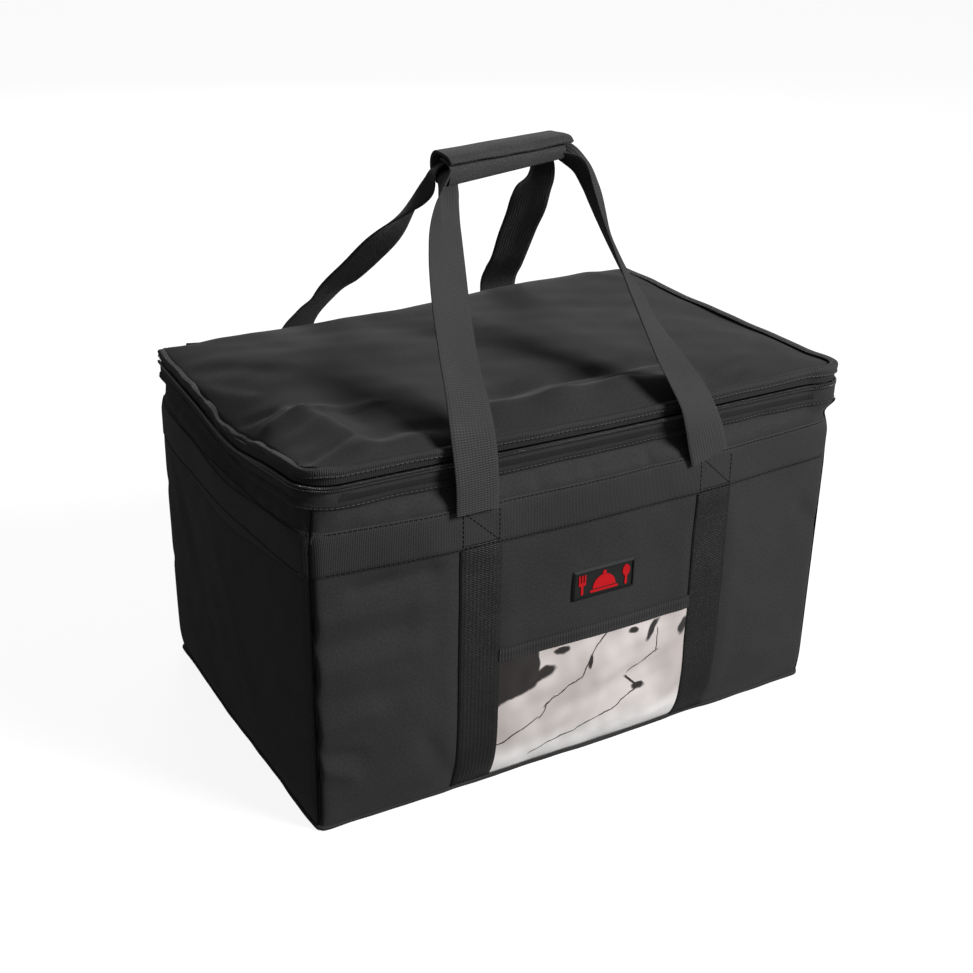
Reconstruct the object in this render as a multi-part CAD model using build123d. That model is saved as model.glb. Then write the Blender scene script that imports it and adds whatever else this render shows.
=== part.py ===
from build123d import *
import os

os.makedirs("parts", exist_ok=True)

# Insulated food carrier: a soft box of woven fabric over foam, with a zipped lid and two webbing handles
# that a padded wrap joins above the lid. Millimetres. +X is along the length, +Y goes from the front to
# the back, +Z is up. The origin is the middle of the footprint, on the surface that the carrier stands on.

# The carrier's envelope
LENGTH = 580.0            # over the side seams
DEPTH = 380.0             # over the front and back seams
WALL_TOP = 341.0          # where the walls end and the zip tape begins
FRONT_BULGE = 16.0        # how far the front and back stand out in their middle
SIDE_BULGE = 6.0          # the same for the two short sides
UNDERSIDE = 1.5           # the bottom panel's lower face: the carrying straps run below it

# Layers
SHELL = 1.2               # outer woven fabric
FOAM = 9.0
LINER = 0.8
LINER_EASE = 0.5          # gap between the floor's lining and the walls' lining
BOARD = 3.0               # stiffening board in the base
WEB = 1.5                 # webbing sewn flat on the shell
BINDING = 1.2             # folded tape over a raw edge

# Webbing
STRAP_WIDTH = 43.0
STRAP_X = 130.0           # middle of each strap from the centre line
BAND_LOW = 265.0          # lower edge of the band that goes all round
BAND_HIGH = 307.0
HANDLE_WEB = 1.6          # thickness of the free handle webbing

# Zip and lid, from the wall's top upwards
ZIP_INSET = 3.0           # the zip's middle plane, inside the seam lines
ZIP_CORNER = 28.0         # plan radius of the zip at each corner
TAPE = 1.0                # thickness of the zip tape
COIL = 2.4                # thickness of the coil
LOWER_COIL_LOW = 345.0
LOWER_COIL_HIGH = 347.3
UPPER_COIL_LOW = 348.5
UPPER_COIL_HIGH = 351.0
UPPER_TAPE_HIGH = 357.0
LID_INSET = 2.0           # the lid is this much smaller than the box, all round
LID_LOW = 359.5           # lower face of the lid's lining
LID_TOP = 371.5
LID_EDGE_TOP = 368.0
ZIP_REAR = 180.0          # the zip ends here, short of the hinge
HINGE_Y = 190.5           # the fabric hinge along the back edge
HINGE_Z = 359.0

# Pocket and badge on the front
POCKET_HALF = STRAP_X - STRAP_WIDTH / 2
POCKET_TOP = 141.0
POCKET_TRIM = 14.0
FILM = 0.8
BADGE_X = 3.0
BADGE_Z = 201.0
BADGE_SIZE = (73.0, 33.0)
BADGE_RISE = 2.0

# Handles: the webbing bends at the band's top edge and again just above the lid's edge
ROOT_Y = 200.0
ROOT_Z = 308.0
BEND_Y = 209.0
BEND_Z = 374.0

# Padded wrap that joins the two handles: a box section, 3.5 mm thick all round
GRIP_HALF = 67.0
GRIP_FRONT = -25.0
GRIP_BACK = 10.0
GRIP_LOW = 543.0
GRIP_HIGH = 570.0
PAD = 3.5
PATCH = 1.0               # hook strip and loop strip
GRIP_GAP = 0.8            # clearance between the two halves

# Zip sliders, both on the right-hand side, head to head
SLIDER_LENGTH = 16.0
SLIDER_PLATE = 1.5
FRONT_SLIDER_Y = 40.0
BACK_SLIDER_Y = 62.0
PULL_LENGTH = 38.0
PULL_WIDTH = 9.0
PIN_RADIUS = 0.9


def slab(x0, x1, y0, y1, z0, z1):
    """A box between two corners."""
    return Pos((x0 + x1) / 2, (y0 + y1) / 2, (z0 + z1) / 2) * Box(x1 - x0, y1 - y0, z1 - z0)


def level(z0, z1):
    """Everything between two heights."""
    return slab(-LENGTH, LENGTH, -DEPTH, DEPTH, z0, z1)


def bulged(half, low, high, bulge):
    """A profile with a straight top and bottom, whose two sides bow outwards."""
    middle = (low + high) / 2
    outline = Curve() + [
        Line((-half, low), (half, low)),
        ThreePointArc((half, low), (half + bulge, middle), (half, high)),
        Line((half, high), (-half, high)),
        ThreePointArc((-half, high), (-half - bulge, middle), (-half, low)),
    ]
    return make_face(outline)


def plan_outline(half_x, half_y):
    """The plan, with all four sides bowed and the corners on the seams."""
    out_x = half_x + SIDE_BULGE
    out_y = half_y + FRONT_BULGE
    outline = Curve() + [
        ThreePointArc((-half_x, -half_y), (0, -out_y), (half_x, -half_y)),
        ThreePointArc((half_x, -half_y), (out_x, 0), (half_x, half_y)),
        ThreePointArc((half_x, half_y), (0, out_y), (-half_x, half_y)),
        ThreePointArc((-half_x, half_y), (-out_x, 0), (-half_x, -half_y)),
    ]
    return make_face(outline)


def envelope(grow):
    """The filled carrier's solid shape up to the wall's top, grown outwards by this much."""
    half_x = LENGTH / 2 + grow
    half_y = DEPTH / 2 + grow
    low = UNDERSIDE - grow
    front_to_back = extrude(Plane.YZ * bulged(half_y, low, WALL_TOP, FRONT_BULGE), LENGTH, both=True)
    side_to_side = extrude(Plane.XZ * bulged(half_x, low, WALL_TOP, SIDE_BULGE), DEPTH, both=True)
    plan = Pos(0, 0, low) * extrude(plan_outline(half_x, half_y), WALL_TOP - low)
    return front_to_back & side_to_side & plan


def skin(inner, outer):
    """A layer that lies on the envelope, from one offset to another."""
    return envelope(outer) - envelope(inner)


# The two outer corners of each side in plan, as signs of x and y
SIDES = {
    "front": ((-1, -1), (1, -1)),
    "right": ((1, -1), (1, 1)),
    "back": ((1, 1), (-1, 1)),
    "left": ((-1, 1), (-1, -1)),
}


def quarter(side):
    """The part of the plan that belongs to one side, mitred at the corner seams."""
    reach = 60.0
    depth = 150.0
    x = LENGTH / 2
    y = DEPTH / 2
    (ax, ay), (bx, by) = SIDES[side]
    corners = [
        (ax * (x + reach), ay * (y + reach)),
        (bx * (x + reach), by * (y + reach)),
        (bx * (x - depth), by * (y - depth)),
        (ax * (x - depth), ay * (y - depth)),
    ]
    return extrude(make_face(Polyline(corners, close=True)), WALL_TOP + 100)


def whole(shape):
    """One part from whatever a boolean gave back, so that it can be exported."""
    return Part() + list(shape.solids())


# ---- the box ----

PANEL_LOW = UNDERSIDE + SHELL
BOARD_TOP = PANEL_LOW + BOARD
FLOOR_FOAM_TOP = BOARD_TOP + FOAM
FLOOR_TOP = FLOOR_FOAM_TOP + LINER
INSIDE_X = LENGTH / 2 - SHELL - FOAM - LINER
INSIDE_Y = DEPTH / 2 - SHELL - FOAM - LINER


def wall_panels():
    ring = skin(-SHELL, 0) & level(PANEL_LOW, WALL_TOP)
    return {side: whole(ring & quarter(side)) for side in SIDES}


def wall_foams():
    core = slab(-INSIDE_X - LINER, INSIDE_X + LINER, -INSIDE_Y - LINER, INSIDE_Y + LINER, 0, WALL_TOP + 1)
    ring = (envelope(-SHELL) & level(PANEL_LOW, WALL_TOP)) - core
    return {side: whole(ring & quarter(side)) for side in SIDES}


def bottom_panel():
    return whole(envelope(0) & level(UNDERSIDE, PANEL_LOW))


def floor_layer(low, high):
    return slab(-INSIDE_X - LINER, INSIDE_X + LINER, -INSIDE_Y - LINER, INSIDE_Y + LINER, low, high)


def liner_walls():
    outer = floor_layer(FLOOR_FOAM_TOP, WALL_TOP)
    return outer - slab(-INSIDE_X, INSIDE_X, -INSIDE_Y, INSIDE_Y, 0, WALL_TOP + 1)


def liner_floor():
    x = INSIDE_X - LINER_EASE
    y = INSIDE_Y - LINER_EASE
    return slab(-x, x, -y, y, FLOOR_FOAM_TOP, FLOOR_TOP)


def strap_lane(x):
    """The space that a strap takes, right round the box."""
    return slab(x - STRAP_WIDTH / 2, x + STRAP_WIDTH / 2, -DEPTH, DEPTH, -5, BAND_LOW)


def girth_band():
    return whole(skin(0, WEB) & level(BAND_LOW, BAND_HIGH))


def sling_runs(x):
    """A carrying strap: down the front, under the base and up the back."""
    loop = skin(0, WEB) & strap_lane(x)
    front = slab(-LENGTH, LENGTH, -DEPTH, -DEPTH / 2, UNDERSIDE, WALL_TOP)
    back = slab(-LENGTH, LENGTH, DEPTH / 2, DEPTH, UNDERSIDE, WALL_TOP)
    return whole(loop & front), whole(loop & level(-5, UNDERSIDE)), whole(loop & back)


def bottom_binding():
    """The bound seam that stands out along the bottom edge, between the straps."""
    lip = skin(0, 3.0) & level(PANEL_LOW, PANEL_LOW + 4.0)
    return whole(lip - strap_lane(-STRAP_X) - strap_lane(STRAP_X))


def rim_binding():
    """Tape over the wall's top edge on the three sides that have the zip."""
    band = skin(0, BINDING) & level(WALL_TOP - 12.0, WALL_TOP)
    return whole(band - slab(-LENGTH, LENGTH, ZIP_REAR, DEPTH, 0, LID_TOP))


# ---- the zip ----

def zip_track(thickness, low, high):
    """A strip along the zip's line: right round, less the hinge side."""
    half_x = LENGTH / 2 - ZIP_INSET
    half_y = DEPTH / 2 - ZIP_INSET
    grow = thickness / 2
    outer = RectangleRounded(2 * (half_x + grow), 2 * (half_y + grow), ZIP_CORNER + grow)
    inner = RectangleRounded(2 * (half_x - grow), 2 * (half_y - grow), ZIP_CORNER - grow)
    ring = Pos(0, 0, low) * extrude(outer - inner, high - low)
    return whole(ring - slab(-LENGTH, LENGTH, ZIP_REAR, DEPTH, 0, LID_TOP))


def zip_end_stops():
    """A crimped stop at each end of the lower coil."""
    x = LENGTH / 2 - ZIP_INSET
    stops = [slab(side * x - 1.6, side * x + 1.6, ZIP_REAR, ZIP_REAR + 3.0, LOWER_COIL_LOW, LOWER_COIL_HIGH)
             for side in (-1, 1)]
    return Part() + stops


def upright_plate(x0, x1, y, z, length, height, radius):
    """A plate with rounded corners that stands in a plane along Y and Z."""
    face = Plane(origin=(x0, y, z), x_dir=(0, 1, 0), z_dir=(1, 0, 0))
    return extrude(face * RectangleRounded(length, height, radius), x1 - x0)


COIL_MIDDLE = (LOWER_COIL_HIGH + UPPER_COIL_LOW) / 2
PLATE_INNER = LENGTH / 2 - ZIP_INSET + COIL / 2 + 0.6
PLATE_OUTER = PLATE_INNER + SLIDER_PLATE
PIN_OUT = 2.9             # the pull's pin, from the outer plate's face
PIN_X = PLATE_OUTER + PIN_OUT
LUG_Y = 5.2               # the lugs' middles, either side of the slider's
LUG_WIDTH = 1.6


def slider(y):
    """Two plates beside the coil, the post between them, and two lugs with the pin for the pull."""
    height = UPPER_COIL_HIGH - LOWER_COIL_LOW + 3.0
    outside = upright_plate(PLATE_INNER, PLATE_OUTER, y, COIL_MIDDLE, SLIDER_LENGTH, height, 2.5)
    far_side = 2 * (LENGTH / 2 - ZIP_INSET) - PLATE_INNER
    inside = upright_plate(far_side - SLIDER_PLATE, far_side, y, COIL_MIDDLE, SLIDER_LENGTH, height, 2.5)
    post = slab(far_side, PLATE_INNER, y - 3, y + 3, COIL_MIDDLE - 0.3, COIL_MIDDLE + 0.3)
    body = outside + inside + post
    for end in (-1, 1):
        near = y + end * LUG_Y - LUG_WIDTH / 2
        face = Plane(origin=(PLATE_OUTER, near, COIL_MIDDLE), x_dir=(1, 0, 0), z_dir=(0, 1, 0))
        outline = Pos(PIN_OUT, 0) * Circle(1.9) + Pos(PIN_OUT / 2, 0) * Rectangle(PIN_OUT, 3.8)
        body += extrude(face * outline, LUG_WIDTH)
    body += Pos(PIN_X, y, COIL_MIDDLE) * Rot(90, 0, 0) * Cylinder(PIN_RADIUS, 2 * LUG_Y)
    return whole(body)


def pull(y):
    """A flat tab that hangs from the slider's pin, with a slot near its tip."""
    tip = COIL_MIDDLE - PULL_LENGTH
    shoulder = COIL_MIDDLE - 6.0
    back = PIN_X - 0.2
    front = PIN_X + 1.3
    eye = Pos(PIN_X, y, COIL_MIDDLE) * Rot(90, 0, 0) * Cylinder(PIN_RADIUS + 1.2, 6.0)
    neck = slab(back, front, y - 3.0, y + 3.0, shoulder - 2, COIL_MIDDLE)
    blade = upright_plate(back, front, y, (tip + shoulder) / 2, PULL_WIDTH, shoulder - tip, 2.6)
    slot = upright_plate(back - 1, front + 1, y, tip + 8.0, 4.4, 9.0, 2.1)
    bore = Pos(PIN_X, y, COIL_MIDDLE) * Rot(90, 0, 0) * Cylinder(PIN_RADIUS + 0.15, 12.0)
    return whole(eye + neck + blade - slot - bore)


# ---- the lid ----

def lid_plate(low, high, inset):
    half_x = LENGTH / 2 - LID_INSET - inset
    half_y = DEPTH / 2 - LID_INSET - inset
    return Pos(0, 0, low) * extrude(RectangleRounded(2 * half_x, 2 * half_y, ZIP_CORNER - inset), high - low)


def lid_edge_binding():
    """Tape round the lid's edge on the three zipped sides."""
    ring = lid_plate(UPPER_TAPE_HIGH, LID_EDGE_TOP, 0) - lid_plate(0, LID_TOP + 1, 2.0)
    return whole(ring - slab(-LENGTH, LENGTH, ZIP_REAR, DEPTH, 0, LID_TOP))


def lid_panel():
    """The lid's outer fabric, slightly crowned over the foam."""
    edge = 2.2
    flat = lid_plate(LID_TOP - SHELL, LID_TOP, 5.0)
    slope = lid_plate(LID_EDGE_TOP, LID_TOP - SHELL, edge) - lid_plate(0, LID_TOP + 1, 6.0)
    return whole(flat + slope)


def lid_foam():
    return lid_plate(LID_LOW + LINER, LID_TOP - SHELL, 6.0)


def back_hinge_strip():
    """The back panel's fabric, carried up past the wall's top to the lid."""
    x = LENGTH / 2 - ZIP_CORNER
    return slab(-x, x, DEPTH / 2 - SHELL, DEPTH / 2, WALL_TOP, HINGE_Z - 1.0)


# ---- pocket and badge ----

def pocket_film():
    return whole(skin(0, FILM) & slab(-POCKET_HALF, POCKET_HALF, -DEPTH, 0, PANEL_LOW + 4.0, POCKET_TOP))


def pocket_trim():
    mouth = slab(-POCKET_HALF, POCKET_HALF, -DEPTH, 0, POCKET_TOP, POCKET_TOP + POCKET_TRIM)
    return whole(skin(0, BINDING) & mouth)


def badge_patch():
    w, h = BADGE_SIZE
    face = -DEPTH / 2 - FRONT_BULGE - BADGE_RISE
    x0 = BADGE_X - w / 2
    z0 = BADGE_Z - h / 2
    block = slab(x0, x0 + w, face, face + 8, z0, z0 + h)
    field = slab(x0 + 2, x0 + w - 2, face, face + 0.6, z0 + 2, z0 + h - 2)
    return whole(block - envelope(0) - field)


def badge_emblem():
    """A serving dome on a plate between a fork and a spoon, raised in the badge's recess."""
    face = -DEPTH / 2 - FRONT_BULGE - BADGE_RISE
    plane = Plane(origin=(BADGE_X, face + 0.6, BADGE_Z), x_dir=(1, 0, 0), z_dir=(0, -1, 0))
    dome = Pos(0, -7) * (Circle(13) & Pos(0, 10) * Rectangle(40, 20))
    plate = Pos(0, -9.5) * RectangleRounded(32, 2.4, 1.1)
    knob = Pos(0, 8) * Circle(2.2)
    fork = Pos(-25, -5.5) * RectangleRounded(2.6, 11, 1.2) + Pos(-25, 0.5) * RectangleRounded(8, 3.4, 1.2)
    for x in (-28.1, -25, -21.9):
        fork += Pos(x, 5) * RectangleRounded(1.8, 10, 0.8)
    spoon = Pos(25, -5.5) * RectangleRounded(2.6, 11, 1.2) + Pos(25, 4) * Ellipse(4.2, 6)
    return whole(extrude(plane * (dome + plate + knob + fork + spoon), 0.6))


# ---- the handles ----

def webbing(stations, thickness):
    """A flat strap through stations of (point, direction across the strap, width)."""
    sections = []
    for i, (point, across, width) in enumerate(stations):
        before = Vector(stations[max(i - 1, 0)][0])
        after = Vector(stations[min(i + 1, len(stations) - 1)][0])
        side = Vector(across).normalized()
        along = (after - before).normalized()
        along = along - side * along.dot(side)
        plane = Plane(origin=point, x_dir=side, z_dir=along.normalized())
        sections.append(plane * Rectangle(width, thickness))
    return loft(sections, ruled=True)


def strap_root(side, x_top, facing):
    """The webbing from the band's top edge to just above the lid's edge."""
    low = (side * STRAP_X, facing * ROOT_Y, ROOT_Z + 0.6)
    high = (x_top, facing * BEND_Y, BEND_Z - 0.8)
    return webbing([(low, (1, 0, 0), STRAP_WIDTH), (high, (1, 0, 0), STRAP_WIDTH - 1)], HANDLE_WEB)


# Each handle leg, from above the lid's edge to the end of the grip: point, direction across, width
LEGS = {
    "front_left": [
        ((-132, -208.4, 374.8), (1, 0, 0), 42),
        ((-111, -134, 439), (1, 0.1, 0), 41),
        ((-92, -72, 499), (1, 0.3, 0), 35),
        ((-77, -30, 541), (1, 1.2, 0.2), 20),
        ((-72, -15, 553.5), (0, 0.6, 1), 10),
    ],
    "front_right": [
        ((114, -208.4, 374.8), (1, 0, 0), 42),
        ((101, -134, 439), (1, -0.2, 0), 41),
        ((87, -80, 491), (1, -1.2, 0), 34),
        ((77, -32, 539), (0.5, -1.2, 0.2), 20),
        ((72, -15, 553.5), (0, 0.6, 1), 10),
    ],
    "back_left": [
        ((-122, 208.4, 374.8), (1, 0, 0), 42),
        ((-96, 140, 425), (1, 0.2, 0), 40),
        ((-84, 66, 489), (1, 0.9, 0), 36),
        ((-75, 19, 536), (0.6, 1.0, 0.2), 20),
        ((-72, -1, 553.5), (0, -0.6, 1), 10),
    ],
    "back_right": [
        ((122, 208.4, 374.8), (1, 0, 0), 42),
        ((100, 140, 425), (1, -0.2, 0), 40),
        ((84, 66, 489), (1, -0.6, 0), 34),
        ((75, 19, 536), (0.6, -1.0, 0.2), 20),
        ((72, -1, 553.5), (0, -0.6, 1), 10),
    ],
}


def grip_webbing(y0, y1):
    """The handle webbing inside the wrap, folded in half along its length."""
    return slab(-GRIP_HALF - 2, GRIP_HALF + 2, y0, y1, GRIP_LOW + PAD + GRIP_GAP, GRIP_LOW + PAD + 13.0)


LIP_TOP = GRIP_HIGH - PAD - 2 * PATCH - GRIP_GAP
CLOSE_Y = -4.0            # how far back the lower wing's lip and the hook strip reach


def grip_lower_wing():
    """The padded wing on the front handle: under the webbing, up its front and over its top."""
    under = slab(-GRIP_HALF, GRIP_HALF, GRIP_FRONT, GRIP_BACK - PAD - 1.0, GRIP_LOW, GRIP_LOW + PAD)
    front = slab(-GRIP_HALF, GRIP_HALF, GRIP_FRONT, GRIP_FRONT + PAD, GRIP_LOW + PAD, LIP_TOP)
    lip = slab(-GRIP_HALF, GRIP_HALF, GRIP_FRONT + PAD, CLOSE_Y, LIP_TOP - 2.5, LIP_TOP)
    return whole(under + front + lip)


def loop_strip():
    x = GRIP_HALF - 6
    return slab(-x, x, GRIP_FRONT + 2, CLOSE_Y, LIP_TOP, LIP_TOP + PATCH)


def grip_back_pad():
    return slab(-GRIP_HALF, GRIP_HALF, GRIP_BACK - PAD, GRIP_BACK, GRIP_LOW + 0.5, GRIP_HIGH - PAD - GRIP_GAP)


def grip_flap_pad():
    return slab(-GRIP_HALF, GRIP_HALF, GRIP_FRONT, GRIP_BACK, GRIP_HIGH - PAD, GRIP_HIGH)


def hook_strip():
    x = GRIP_HALF - 6
    return slab(-x, x, GRIP_FRONT + 2, CLOSE_Y, GRIP_HIGH - PAD - PATCH, GRIP_HIGH - PAD)


def build():
    """Every piece by name."""
    pieces = {}
    for side, solid in wall_panels().items():
        pieces[f"{side}_panel"] = solid
    for side, solid in wall_foams().items():
        pieces[f"{side}_foam"] = solid
    pieces["bottom_panel"] = bottom_panel()
    pieces["base_board"] = floor_layer(PANEL_LOW, BOARD_TOP)
    pieces["bottom_foam"] = floor_layer(BOARD_TOP, FLOOR_FOAM_TOP)
    pieces["liner_floor"] = liner_floor()
    pieces["liner_walls"] = liner_walls()
    pieces["bottom_binding"] = bottom_binding()
    pieces["girth_band"] = girth_band()
    for name, x in (("left", -STRAP_X), ("right", STRAP_X)):
        front, under, back = sling_runs(x)
        pieces[f"{name}_sling_front"] = front
        pieces[f"{name}_sling_under"] = under
        pieces[f"{name}_sling_back"] = back
    pieces["rim_binding"] = rim_binding()
    pieces["lower_zip_tape"] = zip_track(TAPE, WALL_TOP, LOWER_COIL_LOW)
    pieces["lower_zip_coil"] = zip_track(COIL, LOWER_COIL_LOW, LOWER_COIL_HIGH)
    pieces["zip_end_stops"] = zip_end_stops()
    pieces["back_hinge_strip"] = back_hinge_strip()
    pieces["pocket_film"] = pocket_film()
    pieces["pocket_trim"] = pocket_trim()
    pieces["badge_patch"] = badge_patch()
    pieces["badge_emblem"] = badge_emblem()

    pieces["upper_zip_coil"] = zip_track(COIL, UPPER_COIL_LOW, UPPER_COIL_HIGH)
    pieces["upper_zip_tape"] = zip_track(TAPE, UPPER_COIL_HIGH, UPPER_TAPE_HIGH)
    pieces["lid_edge_binding"] = lid_edge_binding()
    pieces["lid_panel"] = lid_panel()
    pieces["lid_foam"] = lid_foam()
    pieces["lid_liner"] = lid_plate(LID_LOW, LID_LOW + LINER, 2.2)

    pieces["front_slider"] = slider(FRONT_SLIDER_Y)
    pieces["back_slider"] = slider(BACK_SLIDER_Y)
    pieces["front_pull"] = pull(FRONT_SLIDER_Y)
    pieces["back_pull"] = pull(BACK_SLIDER_Y)

    for name, stations in LEGS.items():
        face, side = name.split("_")
        facing = -1 if face == "front" else 1
        sign = -1 if side == "left" else 1
        pieces[f"{name}_strap_root"] = strap_root(sign, stations[0][0][0], facing)
        pieces[f"{name}_handle_leg"] = webbing(stations, HANDLE_WEB)
    pieces["front_grip_webbing"] = grip_webbing(-20.5, -9.0)
    pieces["back_grip_webbing"] = grip_webbing(-7.5, 5.0)
    pieces["grip_lower_wing"] = grip_lower_wing()
    pieces["loop_strip"] = loop_strip()
    pieces["grip_back_pad"] = grip_back_pad()
    pieces["grip_flap_pad"] = grip_flap_pad()
    pieces["hook_strip"] = hook_strip()
    return pieces


for node, solid in build().items():
    export_step(solid, f"parts/{node}.step")
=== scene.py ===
import math

import bpy
import numpy as np
from mathutils import Matrix, Vector
from mathutils.bvhtree import BVHTree


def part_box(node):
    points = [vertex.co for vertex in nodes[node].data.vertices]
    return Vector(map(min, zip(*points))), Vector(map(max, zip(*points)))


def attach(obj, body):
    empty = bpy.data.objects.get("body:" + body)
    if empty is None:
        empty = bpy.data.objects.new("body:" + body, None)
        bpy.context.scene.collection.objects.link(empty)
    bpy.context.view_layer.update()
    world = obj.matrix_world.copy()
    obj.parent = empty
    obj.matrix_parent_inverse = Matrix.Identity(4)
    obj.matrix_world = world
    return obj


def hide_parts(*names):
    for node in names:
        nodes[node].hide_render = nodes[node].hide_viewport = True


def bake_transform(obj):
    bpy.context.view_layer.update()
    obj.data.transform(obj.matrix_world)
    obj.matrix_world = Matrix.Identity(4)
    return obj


# Insulated food carrier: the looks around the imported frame. Metres. +X is along the length, +Y goes
# from the front to the back, +Z is up.

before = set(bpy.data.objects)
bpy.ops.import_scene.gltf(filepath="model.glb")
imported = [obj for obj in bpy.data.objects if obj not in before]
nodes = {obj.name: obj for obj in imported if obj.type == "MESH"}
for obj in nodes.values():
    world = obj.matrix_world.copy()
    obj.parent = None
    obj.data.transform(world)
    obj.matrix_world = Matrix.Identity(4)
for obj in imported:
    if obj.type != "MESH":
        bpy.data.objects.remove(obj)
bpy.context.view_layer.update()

# The box: its seam lines and heights
HX = 0.290
HY = 0.190
WALL_TOP = 0.341
BAND_LOW = 0.265
BAND_HIGH = 0.307
STRAP_X = 0.130
STRAP_WIDTH = 0.043
WEB = 0.0015
HANDLE_WEB = 0.0017
FILM_TALL = 0.146         # the pocket film's height, flat and in place
RIM_LOW = 0.325           # lower edge of the tape over the wall's rim

# The zip's line in plan, and the lid's edge
ZIP_HX = 0.287
ZIP_HY = 0.187
ZIP_CORNER = 0.030
ZIP_REAR = 0.180
LID_EDGE = 0.3605


# ---- small helpers ----

def smooth(t):
    t = np.clip(t, 0.0, 1.0)
    return t * t * (3 - 2 * t)


def ripple(a, b, length, seed, waves=7):
    """Soft undulation between about -1 and 1, with features of this length."""
    draw = np.random.default_rng(seed)
    total = np.zeros(np.broadcast(a, b).shape)
    for _ in range(waves):
        turn, phase = draw.uniform(0, math.pi), draw.uniform(0, 2 * math.pi)
        stretch = draw.uniform(0.7, 1.5)
        k = 2 * math.pi / (length * stretch)
        total += np.sin(k * (a * math.cos(turn) + b * math.sin(turn)) + phase)
    return total / math.sqrt(waves) * 0.8


def crease(a, b, start, end, height, narrow, wide):
    """A fold along a line from start to end. It falls off over narrow on its left and wide on its right."""
    along = np.array(end, float) - np.array(start, float)
    size = np.hypot(*along)
    along /= size
    da, db = a - start[0], b - start[1]
    t = (da * along[0] + db * along[1]) / size
    off = -da * along[1] + db * along[0]
    fall = np.where(off > 0, narrow, wide)
    past = np.maximum(0, np.maximum(-t, t - 1)) * size
    return height * np.exp(-(off / fall) ** 2 - (past / (1.2 * max(narrow, wide))) ** 2)


def through(stations, count):
    """A smooth line through stations of equal length, sampled count times. Each row holds any numbers."""
    p = np.array(stations, float)
    gaps = np.maximum(np.linalg.norm(np.diff(p[:, :3], axis=0), axis=1), 1e-6)
    knots = np.concatenate([[0], np.cumsum(gaps)])
    slopes = np.gradient(p, knots, axis=0)
    at = np.linspace(0, knots[-1], count)
    i = np.clip(np.searchsorted(knots, at, side="right") - 1, 0, len(gaps) - 1)
    h = gaps[i][:, None]
    t = ((at - knots[i]) / gaps[i])[:, None]
    return ((2 * t**3 - 3 * t**2 + 1) * p[i] + (t**3 - 2 * t**2 + t) * h * slopes[i]
            + (-2 * t**3 + 3 * t**2) * p[i + 1] + (t**3 - t**2) * h * slopes[i + 1])


def unit(v):
    return v / np.maximum(np.linalg.norm(v, axis=-1, keepdims=True), 1e-12)


def run_along(points):
    """The distance along a line of points, from its first point."""
    return np.concatenate([[0], np.cumsum(np.linalg.norm(np.diff(points, axis=0), axis=1))])


def at_height(plan, z):
    """Points of a plan, each with its height."""
    return np.concatenate([plan, z[:, None]], axis=1)


def nothing_selected():
    for o in list(bpy.context.selected_objects):
        o.select_set(False)


def alone(obj):
    nothing_selected()
    obj.select_set(True)
    bpy.context.view_layer.objects.active = obj


def in_edit(obj, *steps):
    """Runs edit-mode operators on everything in a mesh."""
    alone(obj)
    bpy.ops.object.mode_set(mode="EDIT")
    bpy.ops.mesh.select_mode(type="VERT")
    bpy.ops.mesh.select_all(action="SELECT")
    for step in steps:
        step()
    bpy.ops.object.mode_set(mode="OBJECT")


def cloth_grid(name, place, flat):
    """A grid whose point (row, column) goes to place[row, column]. flat holds its UVs, in metres."""
    rows, columns = place.shape[:2]
    nothing_selected()
    bpy.ops.mesh.primitive_grid_add(x_subdivisions=columns - 1, y_subdivisions=rows - 1, size=2)
    obj = bpy.context.object
    obj.name = name
    mesh = obj.data
    co = np.empty(len(mesh.vertices) * 3)
    mesh.vertices.foreach_get("co", co)
    co = co.reshape(-1, 3)
    i = np.rint((co[:, 0] + 1) / 2 * (columns - 1)).astype(int)
    j = np.rint((co[:, 1] + 1) / 2 * (rows - 1)).astype(int)
    mesh.vertices.foreach_set("co", place[j, i].astype(np.float32).ravel())
    index = np.empty(len(mesh.loops), int)
    mesh.loops.foreach_get("vertex_index", index)
    uv = np.asarray(flat)[j, i][index]
    mesh.uv_layers[0].data.foreach_set("uv", uv.astype(np.float32).ravel())
    mesh.update()
    return obj


def closed(obj, fill=True):
    """Joins what meets, closes the ends and turns the faces outwards."""
    steps = [lambda: bpy.ops.mesh.remove_doubles(threshold=2e-5)]
    if fill:
        steps.append(lambda: bpy.ops.mesh.fill_holes(sides=0))
    steps.append(lambda: bpy.ops.mesh.normals_make_consistent(inside=False))
    in_edit(obj, *steps)
    return obj


def strip(name, outer, inner, along, across):
    """A closed strip between two faces of the same grid: rows across it, columns along it."""
    place = np.concatenate([outer, inner[::-1], outer[:1]])
    u, v = np.meshgrid(along, across)
    flat = np.stack([u, v], axis=-1)
    flat = np.concatenate([flat, flat[::-1], flat[:1]])
    return closed(cloth_grid(name, place, flat))


def soft_shade(obj, angle=50):
    alone(obj)
    bpy.ops.object.shade_smooth_by_angle(angle=math.radians(angle))
    return obj


def wear(obj, material, angle=50):
    """Gives a piece its material and slot."""
    obj.data.materials.clear()
    obj.data.materials.append(material)
    return soft_shade(obj, angle)


def many(name, pattern, places):
    """Copies of one small mesh, each turned and placed by its own (origin, x, y, z) axes, in one piece."""
    points = np.array([v.co for v in pattern.data.vertices])
    faces = [list(p.vertices) for p in pattern.data.polygons]
    origin, ax, ay, az = (np.asarray(k, float)[:, None, :] for k in places)
    all_points = origin + points[None, :, :1] * ax + points[None, :, 1:2] * ay + points[None, :, 2:3] * az
    count = len(points)
    all_faces = [[count * k + v for v in f] for k in range(len(origin)) for f in faces]
    mesh = bpy.data.meshes.new(name)
    mesh.from_pydata(all_points.reshape(-1, 3).tolist(), [], all_faces)
    obj = bpy.data.objects.new(name, mesh)
    bpy.context.scene.collection.objects.link(obj)
    return obj


# ---- materials ----

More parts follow.
